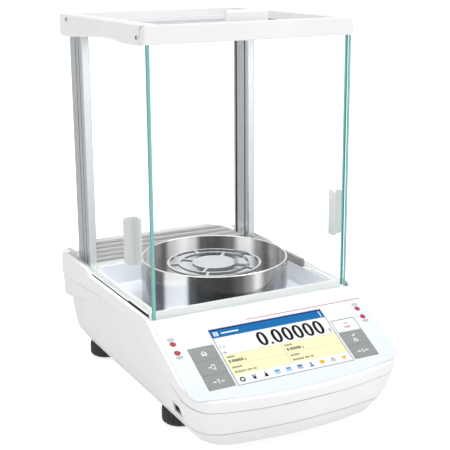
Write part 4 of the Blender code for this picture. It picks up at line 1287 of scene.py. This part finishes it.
def keys():
    for name, side, row in key_places():
        colour = KEY_WHITE if name == "power" else KEY_GREY
        sheet = Sheet()
        low, face = -1.7 * MM, -0.1 * MM
        sheet.shape(key_rectangle(side, row), colour, low, face - 0.12 * MM)
        rim = key_rectangle(side, row, -0.14 * MM)
        sheet.shape(rim, colour, face - 0.12 * MM, face)
        x = side * (KEY_X[0] + KEY_X[1]) / 2
        y = -(KEY_TOP_S + row * KEY_PITCH) - KEY_HEIGHT / 2
        if name == "power":
            edge = key_rectangle(side, row, -0.20 * MM)
            inner = key_rectangle(side, row, -0.65 * MM)
            sheet.shape(edge, INK_DARK, face + 0.002 * MM, face + 0.02 * MM, inner)
        key_sign(sheet, name, x, y, face + 0.002 * MM, face + 0.03 * MM)
        slot = "key_white" if name == "power" else "key_grey"
        sheet.done("keycap_" + name, f"key_{name}_cap", slot, "key_" + name)


def sensors():
    profile = in_mm([(0, 0.35), (0.8, 0.32), (1.4, 0.22), (1.9, 0.04), (2.3, -0.3), (2.3, -4.0), (0, -4.0)])
    for side, hand in HANDS:
        for s, level in zip(SENSOR_S, ("upper", "lower")):
            node = f"{hand}_{level}_sensor"
            place = panel_matrix() @ Matrix.Translation((side * SENSOR_X, -s, 0))
            piece(turned(node + "_lens", profile, 40, place), SENSOR, "base", "sensor_red", node)


# ---------------------------------------------------------------- chamber


def shield_ring():
    """Draught ring with a rolled rim, in thin polished sheet."""
    low = RING[0].z
    top = RING[1].z
    outer = RING[1].x
    sheet = 1.2 * MM
    bead = 0.85 * MM
    rim = [(outer - bead + bead * math.cos(a), top - bead + bead * math.sin(a)) for a in radians(90, 0, 6)]
    tuck = [(outer - bead + bead * math.cos(a), top - bead + bead * math.sin(a)) for a in radians(230, 90, 8)]
    profile = rim + [(outer, low), (outer - sheet, low), (outer - sheet, top - 2.2 * bead)] + tuck[:-1]
    ring = turned("draught_ring_wall", profile, 180)
    for face in ring.data.polygons:
        face.material_index = int(face.center.z > top - 1.1 * bead)
    return piece(ring, [STEEL_PAINTED_REFLECTIONS, RIM_STEEL], "draught_ring", "polished_steel", "shield_ring", angle=50)


def radians(start, end, count):
    return [math.radians(start + (end - start) * i / count) for i in range(count + 1)]


def pan_sectors(radius):
    """The pan's openings: ring-shaped sectors between its rims and its disc."""
    band = 2.2 * MM
    spoke = 1.3 * MM
    holes = []
    for inner, outer, count, turn in ((33.5 * MM, radius - band, 5, 18), (20.5 * MM, 31.3 * MM, 4, 45)):
        for i in range(count):
            start = turn + 360 * i / count
            end = turn + 360 * (i + 1) / count
            outer_edge = math.degrees(spoke / outer)
            inner_edge = math.degrees(spoke / inner)
            rim = arc((0, 0), outer, start + outer_edge, end - outer_edge, 30)
            hub = arc((0, 0), inner, end - inner_edge, start + inner_edge, 26)
            holes.append(rim + hub)
    return holes


def weighing_pan():
    radius = PAN[1].x
    top = PAN[1].z
    pan = slab("pan_grid", circle(radius, 180), top - 2 * MM, top, None, pan_sectors(radius))
    rounded(pan, 0.55 * MM, 3, 50)
    hub = [(0, 120.3), (8.6, 120.3), (7.5, 117.5), (7.5, 104.1)]
    hub += [(6.9, 103.5), (4.6, 103.5), (4.6, 118.6), (0, 118.6)]
    combine(pan, turned("pan_hub", in_mm(hub), 72), "UNION")
    pan.name = "pan_openwork"
    return piece(pan, PAN_STEEL, "pan", "polished_steel", "weighing_pan", angle=40)


def chamber():
    rails = softened("chamber_frame", [PALE, PALE_TOP_PAINTED_SHADE, GROOVE_PAINTED_SHADE], "chamber_pale_grey", 0.6 * MM, 3)
    for face in rails.data.polygons:
        # Outer side walls of the chamber frame are painted near black, the shadow in the gap to the housing.
        outer = abs(face.normal.x) > 0.9 and abs(face.center.x) > CHAMBER[1].x - 0.5 * MM
        # Upward faces take the darker copy of the pale grey as painted shade.
        face.material_index = 2 if outer else int(face.normal.z > 0.7)


# ---------------------------------------------------------------- draft shield


def pane(node, green, edge, glass=None, fringe=0.0):
    """A pane with polished edges, green where they face the green directions, and the edge's green painted on
    the front face in a fringe beside them, standing in for the edge seen through the glass.
    """
    low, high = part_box(node)
    obj = rounded(box(node + "_pane", low, high), 0.3 * MM, 3)
    bm = bmesh.new()
    bm.from_mesh(obj.data)
    if fringe:
        for x in (low.x + fringe, high.x - fringe):
            everything = bm.verts[:] + bm.edges[:] + bm.faces[:]
            bmesh.ops.bisect_plane(bm, geom=everything, plane_co=(x, 0, 0), plane_no=(1, 0, 0))
    for face in bm.faces:
        x = face.calc_center_median().x
        # The fringe on the front face is painted edge colour, standing in for the green edge seen through the
        # glass.
        beside = fringe > 0 and face.normal.y < 0 and not low.x + fringe < x < high.x - fringe
        face.material_index = int(beside or max(face.normal.dot(Vector(way)) for way in green) > 0.35)
    bm.to_mesh(obj.data)
    bm.free()
    obj.visible_shadow = False
    obj.visible_diffuse = False
    return piece(obj, [glass or GLASS, edge], frame["nodes"][node]["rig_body"], "clear_glass", node)


def panes():
    sides = ((1, 0, 0), (-1, 0, 0))
    front = ((0, -1, 0),)
    pane("front_glass", sides, EDGE_FRONT, fringe=2.0 * MM)
    pane("rear_glass", sides, EDGE_TOP)
    pane("left_door_glass", front, EDGE_LEFT)
    pane("right_door_glass", front, EDGE_RIGHT)
    pane("top_door_glass", sides, EDGE_TOP, GLASS_TOP)


def skirt_z(y):
    """The lower edge of the top frame's sides: deepest over the posts, with a shallow bow near the front."""
    rear = 5.2 * MM * smooth_step((y - 8 * MM) / (108 * MM))
    bow = 1.7 * MM * smooth_step((-2 * MM - y) / (36 * MM))
    bow -= 0.8 * MM * smooth_step((-50 * MM - y) / (18 * MM))
    return BAR[0].z - rear - bow


def top_frame():
    front, back = TOP[0].y, TOP[1].y
    half = TOP[1].x
    top = TOP[1].z
    lower = [(y, skirt_z(y)) for y in spread(front, back - 2 * MM, 4 * MM)]
    corner = arc((back - 3.0 * MM, top - 3.0 * MM), 3.0 * MM, 0, 90, 6)
    foot = arc((back - 2.0 * MM, skirt_z(back) + 2.0 * MM), 2.0 * MM, 300, 360, 4)
    profile = lower[:-1] + foot + corner + [(front, top)]
    obj = slab("top_surround", profile, -half, half, FROM_SIDE)
    rounded(obj, 1.6 * MM, 4, 40)
    opening = 82 * MM
    combine(obj, box("opening", (-opening, -0.1, 0.3), (opening, 113 * MM, 0.4)))
    post_low, post_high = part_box("right_post")
    inner = post_low.x - GAP
    combine(obj, box("under_beam", (-inner, -0.1, 0.3), (inner, 0.2, BAR[0].z)))
    glass_low, glass_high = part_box("top_door_glass")
    slot = 0.5 * MM
    slot_low = (glass_low.x - slot, -0.1, glass_low.z - slot)
    combine(obj, box("glass_slot", slot_low, (glass_high.x + slot, 0.2, glass_high.z + slot)))
    for side, hand in HANDS:
        x0, x1 = sorted((side * (inner - 1 * MM), side * (post_high.x + 0.6 * MM)))
        pocket = ((x0, post_low.y - GAP, 0.3), (x1, post_high.y + GAP, BAR[0].z))
        combine(obj, box("post_pocket", *pocket))
        low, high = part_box(f"{hand}_door_glass")
        slot_high = (high.x + 0.4 * MM, 0.2, high.z + 0.8 * MM)
        combine(obj, box("door_slot", (low.x - 0.4 * MM, -0.1, 0.3), slot_high))
        for end in ("front", "rear"):
            low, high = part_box(f"frame_screw_{hand}_{end}")
            middle = (low + high) / 2
            inside = (low.x - 0.2 * MM if side > 0 else high.x + 0.2 * MM, middle.y, middle.z)
            outside = (side * 110 * MM, middle.y, middle.z)
            combine(obj, rod("screw_bore", 1.5 * MM, inside, outside, 24))
    # The front rim faces are painted grey, the shade in the joint with the front bar.
    for face in obj.data.polygons:
        face.material_index = int(face.center.y < front + 1.0 * MM and face.normal.y < -0.3)
    piece(obj, [FRAME_WHITE, JOINT_PAINTED_SHADE], "base", "housing_white", "top_frame")


def front_bar():
    """The front member, with generous upper corners and a fine joint to the sides."""
    low, high = BAR
    big = 6.5 * MM
    small = 1.2 * MM
    outline = arc((low.x + small, low.z + small), small, 180, 270, 4)
    outline += arc((high.x - small, low.z + small), small, 270, 360, 4)
    outline += arc((high.x - big, high.z - big), big, 0, 90, 12)
    outline += arc((low.x + big, high.z - big), big, 90, 180, 12)
    obj = slab("front_member", outline, -high.y, -low.y, FROM_FRONT)
    rounded(obj, 0.9 * MM, 3, 50)
    glass_low, glass_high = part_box("top_door_glass")
    slot_low = (glass_low.x - 0.6 * MM, glass_low.y - 0.7 * MM, glass_low.z - 0.4 * MM)
    slot_high = (glass_high.x + 0.6 * MM, high.y + 0.01, glass_high.z + 0.5 * MM)
    combine(obj, box("glass_slot", slot_low, slot_high))
    for hand in ("left", "right"):
        door_low, door_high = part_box(f"{hand}_door_glass")
        slot_low = (door_low.x - 0.4 * MM, door_low.y - 0.5 * MM, 0.3)
        slot_high = (door_high.x + 0.4 * MM, high.y + 0.01, door_high.z + 0.8 * MM)
        combine(obj, box("door_slot", slot_low, slot_high))
    piece(obj, FRAME_WHITE, "base", "housing_white", "front_bar")


def screws():
    """Pan-head screws with a cross recess."""
    for side, hand in HANDS:
        for end in ("front", "rear"):
            node = f"frame_screw_{hand}_{end}"
            low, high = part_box(node)
            middle = (low + high) / 2
            face = low.x if side < 0 else high.x
            shaft = 1.0 - (high.x - low.x) / MM
            head = [(0, 0.9), (0.8, 0.85), (1.5, 0.6), (1.9, 0.2), (2.0, -0.2)]
            head += [(1.2, -0.2), (1.2, shaft), (0, shaft)]
            matrix = Matrix.Translation((face - side * 1.0 * MM, middle.y, middle.z))
            matrix = matrix @ Matrix.Rotation(side * math.pi / 2, 4, "Y")
            screw = turned(node + "_head", in_mm(head), 32)
            for turn in (0, 1):
                x, y = (1.5 * MM, 0.42 * MM) if turn else (0.42 * MM, 1.5 * MM)
                combine(screw, box("recess", (-x, -y, 0.05 * MM), (x, y, 2 * MM)))
            # The floor of the cross recess is painted black as shade.
            for face in screw.data.polygons:
                face.material_index = int(0 < face.center.z < 0.5 * MM and face.center.xy.length < 1.5 * MM)
            screw.data.transform(matrix)
            piece(screw, [ZINC, BLACK], "base", "zinc", node)


def grips():
    """Finger pulls on the outer faces of the side doors: a short pad on the glass, and a fin at its rear."""
    for side, hand in HANDS:
        node = hand + "_door_grip"
        low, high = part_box(node)
        obj = softened_mesh(node)
        x0, x1 = (low.x, low.x + 30 * MM) if side < 0 else (high.x - 30 * MM, high.x)
        outline = rounded_rectangle(x0, low.z, x1, high.z, 4.5 * MM, 8)
        front = slab("grip_front", outline, -high.y - 5 * MM, -low.y + 5 * MM, FROM_FRONT)
        combine(obj, front, "INTERSECT")
        outline = rounded_rectangle(low.y, low.z, high.y + 20 * MM, high.z, 2.5 * MM, 6)
        profile = slab("grip_side", outline, low.x - 5 * MM, high.x + 5 * MM, FROM_SIDE)
        combine(obj, profile, "INTERSECT")
        rounded(obj, 0.45 * MM, 3)
        piece(obj, GRIP, hand + "_door", "grip_grey", node)


def posts():
    """Extrusions with painted shade: a darker copy of the aluminium on their sides, and their grooves painted
    near black.
    """
    inner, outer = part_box("right_post")
    for hand in ("left", "right"):
        post = softened(f"{hand}_post", [ALUMINIUM, ALUMINIUM_PAINTED_SHADE, GROOVE_PAINTED_SHADE], "satin_aluminium", 0.2 * MM, 2)
        for face in post.data.polygons:
            x, y = abs(face.center.x), face.center.y
            depth = min(x - inner.x, outer.x - x)
            # Faces sunk in the posts' grooves are painted near black as shade.
            sunk = 0.25 * MM < depth < 2.6 * MM and inner.y + 3 * MM < y < outer.y - 1 * MM
            flat = abs(face.normal.z) < 0.5
            # Side faces take the darker copy of the aluminium as painted shade.
            face.material_index = 2 if sunk and flat else int(abs(face.normal.x) > 0.6)


# ---------------------------------------------------------------- inside, rear and feet


def plain_parts():
    """The parts that only need their edges softened: node, finish, slot, width, segments and angle."""
    parts = (
        ("chamber_tray", TRAY, "tray_blue_grey", 0.3, 2, 40),
        ("rear_baffle", TAUPE, "baffle_taupe", 0.3, 2, 30),
        ("right_door_sill", TAUPE_DARK, "baffle_taupe", 0.5, 3, 30),
        ("pan_spindle", SPINDLE_STEEL, "polished_steel", 0.2, 2, 30),
        ("top_door_handle", FRAME_WHITE, "housing_white", 0.5, 3, 30),
        ("base_plate", CAST, "cast_aluminium", 0.6, 2, 30),
        ("weighing_cell", CAST, "cast_aluminium", 0.8, 2, 30),
        ("main_board", BOARD, "circuit_board", 0.15, 1, 30),
        ("display_board", BOARD, "circuit_board", 0.15, 1, 30),
        ("calibration_weight", BRASS, "brass", 0.2, 2, 50),
        ("rear_panel", BLACK, "black_plastic", 0.3, 2, 30),
        ("dc_socket", BLACK, "black_plastic", 0.3, 2, 30),
        ("serial_port", ZINC, "zinc", 0.3, 2, 30),
        ("ethernet_port", ZINC, "zinc", 0.3, 2, 30),
        ("side_usb_port", ZINC, "zinc", 0.3, 2, 30),
    )
    for node, finish, slot, width, segments, angle in parts:
        softened(node, finish, slot, width * MM, segments, angle)


def level():
    """Bubble level: black collar, green vial with a domed top, its ring mark and bubble."""
    low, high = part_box("level_housing")
    middle = (low + high) / 2
    at = Matrix.Translation((middle.x, middle.y, high.z))
    collar = [(9.0, -0.5), (9.0, -6.0), (6.6, -6.0), (6.6, -0.9), (7.1, -0.2), (7.6, 0.0), (8.6, 0.0)]
    ring = turned("level_collar", in_mm(collar), 72, at)
    piece(ring, BLACK, "base", "black_plastic", "level_housing")
    vial = [(0, -0.9), (2.5, -1.0), (4.6, -1.35), (6.0, -2.0), (6.3, -2.6), (6.3, -5.8), (0, -5.8)]
    dome = turned("level_dome", in_mm(vial), 56, at)
    piece(dome, VIAL, "base", "clear_glass", "level_vial")
    mark = [(2.9, -0.99), (3.2, -1.02), (3.2, -1.2), (2.9, -1.2)]
    line = turned("level_mark", in_mm(mark), 48, at)
    piece(line, BLACK, "base", "black_plastic")
    bubble = [(0, -0.70), (0.9, -0.74), (1.6, -0.84), (1.9, -1.0), (1.4, -1.2), (0, -1.25)]
    drop = turned("level_bubble", in_mm(bubble), 36, at @ Matrix.Translation((0.3 * MM, 0, 0)))
    piece(drop, KEY_WHITE, "base", "clear_glass")


def foot_wheel(name, x, y):
    """Fluted knob with scooped grips, a chamfered sole and a domed shoulder."""
    flutes = 20
    radius = 16.5 * MM
    steps = 8

    def ring(z, scale, depth):
        points = []
        for i in range(flutes * steps):
            angle = math.tau * i / (flutes * steps)
            scoop = 0.5 - 0.5 * math.cos(angle * flutes)
            reach = radius * scale - depth * scoop**2
            points.append(Vector((x + reach * math.cos(angle), y + reach * math.sin(angle), z)))
        return points

    levels = ((0.0, 0.86, 0.0), (0.5, 0.90, 0.0), (1.6, 0.975, 0.6), (2.8, 1.0, 1.3))
    levels += ((11.8, 1.0, 1.3), (13.0, 0.985, 1.0), (13.9, 0.95, 0.3), (14.5, 0.88, 0.0))
    wheel = loft(f"foot_knob_{name}", [ring(z * MM, s, d * MM) for z, s, d in levels], caps="face")
    combine(wheel, rod("socket", 4.3 * MM, (x, y, 4 * MM), (x, y, 30 * MM), 32))
    piece(wheel, FOOT, "wheel_" + name, "foot_black", "foot_wheel_" + name, angle=45)


def feet():
    for name in ("front_left", "front_right", "rear_left", "rear_right"):
        low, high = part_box("foot_wheel_" + name)
        middle = (low + high) / 2
        foot_wheel(name, middle.x, middle.y)
        softened("foot_stem_" + name, ZINC, "zinc", 0.2 * MM, 2, 50)


# ---------------------------------------------------------------- studio


def backdrop(nodes, colour, strength):
    return nodes.feed(nodes.add("ShaderNodeBackground"), Color=colour, Strength=strength).outputs[0]


def surroundings():
    """Even light, a white backdrop for the camera, and soft grey bands for mirrors to show."""
    world = bpy.data.worlds.new("studio")
    bpy.context.scene.world = world
    world.use_nodes = True
    world.node_tree.nodes.clear()
    nodes = Nodes(world.node_tree)
    ray = nodes.add("ShaderNodeLightPath").outputs
    x, y, z = nodes.axes(nodes.add("ShaderNodeTexCoord").outputs["Generated"])
    turn = nodes.ranged(nodes.math("ARCTAN2", y, x), 0.0, 1.0, -math.pi, math.pi)
    bands = nodes.ramp(turn, [(place, tone, 1.0) for place, tone in MIRROR_BANDS])
    mirrored = nodes.blend(nodes.ranged(z, 0.0, 1.0, 0.45, 0.8), bands, WHITE)
    light = backdrop(nodes, WHITE, AMBIENT)
    light = nodes.mixed(ray["Is Glossy Ray"], light, backdrop(nodes, mirrored, 1.0))
    light = nodes.mixed(ray["Is Camera Ray"], light, backdrop(nodes, WHITE, BACKDROP))
    nodes.put(nodes.add("ShaderNodeOutputWorld").inputs["Surface"], light)


def studio_floor():
    floor = bpy.data.meshes.new("floor")
    bm = bmesh.new()
    bmesh.ops.create_grid(bm, x_segments=1, y_segments=1, size=FLOOR_REACH)
    bm.to_mesh(floor)
    bm.free()
    ground = helper("studio_floor", floor)
    finish = Finish("studio_floor")
    tone = finish.blend(finish.ranged(finish.noise(3.0), 0.0, 1.0), (0.93, 0.93, 0.93), (0.95, 0.95, 0.95))
    seen_by = finish.add("ShaderNodeLightPath").outputs["Is Camera Ray"]
    glow = finish.math("MULTIPLY", seen_by, FLOOR_GLOW)
    finish.feed(finish.shader, Specular_IOR_Level=0.1, Emission_Color=WHITE, Emission_Strength=glow)
    floor.materials.append(finish.surface(tone, 0.8))
    ground.visible_glossy = False


def lamps():
    for name, place, size, power in LAMPS:
        light = bpy.data.lights.new(name, "AREA")
        light.shape = "SQUARE"
        light.size = size
        light.energy = power
        lamp = bpy.data.objects.new(name, light)
        lamp.location = place
        lamp.rotation_euler = (LAMP_AIM - Vector(place)).to_track_quat("-Z", "Y").to_euler()
        lamp.visible_camera = False
        lamp.visible_glossy = name != "chamber"
        bpy.context.scene.collection.objects.link(lamp)


def camera():
    """Eye to the operator's left and above, with a long lens."""
    data = bpy.data.cameras.new("camera")
    data.lens = EYE_LENS
    data.sensor_width = 36.0
    data.shift_x, data.shift_y = EYE_SHIFT
    data.clip_end = 50.0
    eye = bpy.data.objects.new("camera", data)
    yaw, pitch, roll = EYE_YAW, EYE_PITCH, EYE_ROLL
    ahead = Vector((math.sin(yaw) * math.cos(pitch), math.cos(yaw) * math.cos(pitch), -math.sin(pitch)))
    right = ahead.cross(Vector((0, 0, 1))).normalized()
    up = right.cross(ahead)
    right, up = right * math.cos(roll) + up * math.sin(roll), up * math.cos(roll) - right * math.sin(roll)
    axes = Matrix((right, up, -ahead)).transposed().to_4x4()
    eye.matrix_world = Matrix.Translation(EYE) @ axes
    bpy.context.scene.collection.objects.link(eye)
    bpy.context.scene.camera = eye


upper_housing()
lower_housing()
overlay()
panel_print()
screen_image()
keys()
sensors()
chamber()
shield_ring()
weighing_pan()
panes()
top_frame()
front_bar()
screws()
grips()
posts()
plain_parts()
level()
feet()
studio_floor()
surroundings()
lamps()
camera()
view_settings = bpy.context.scene.view_settings
view_settings.view_transform = "Standard"
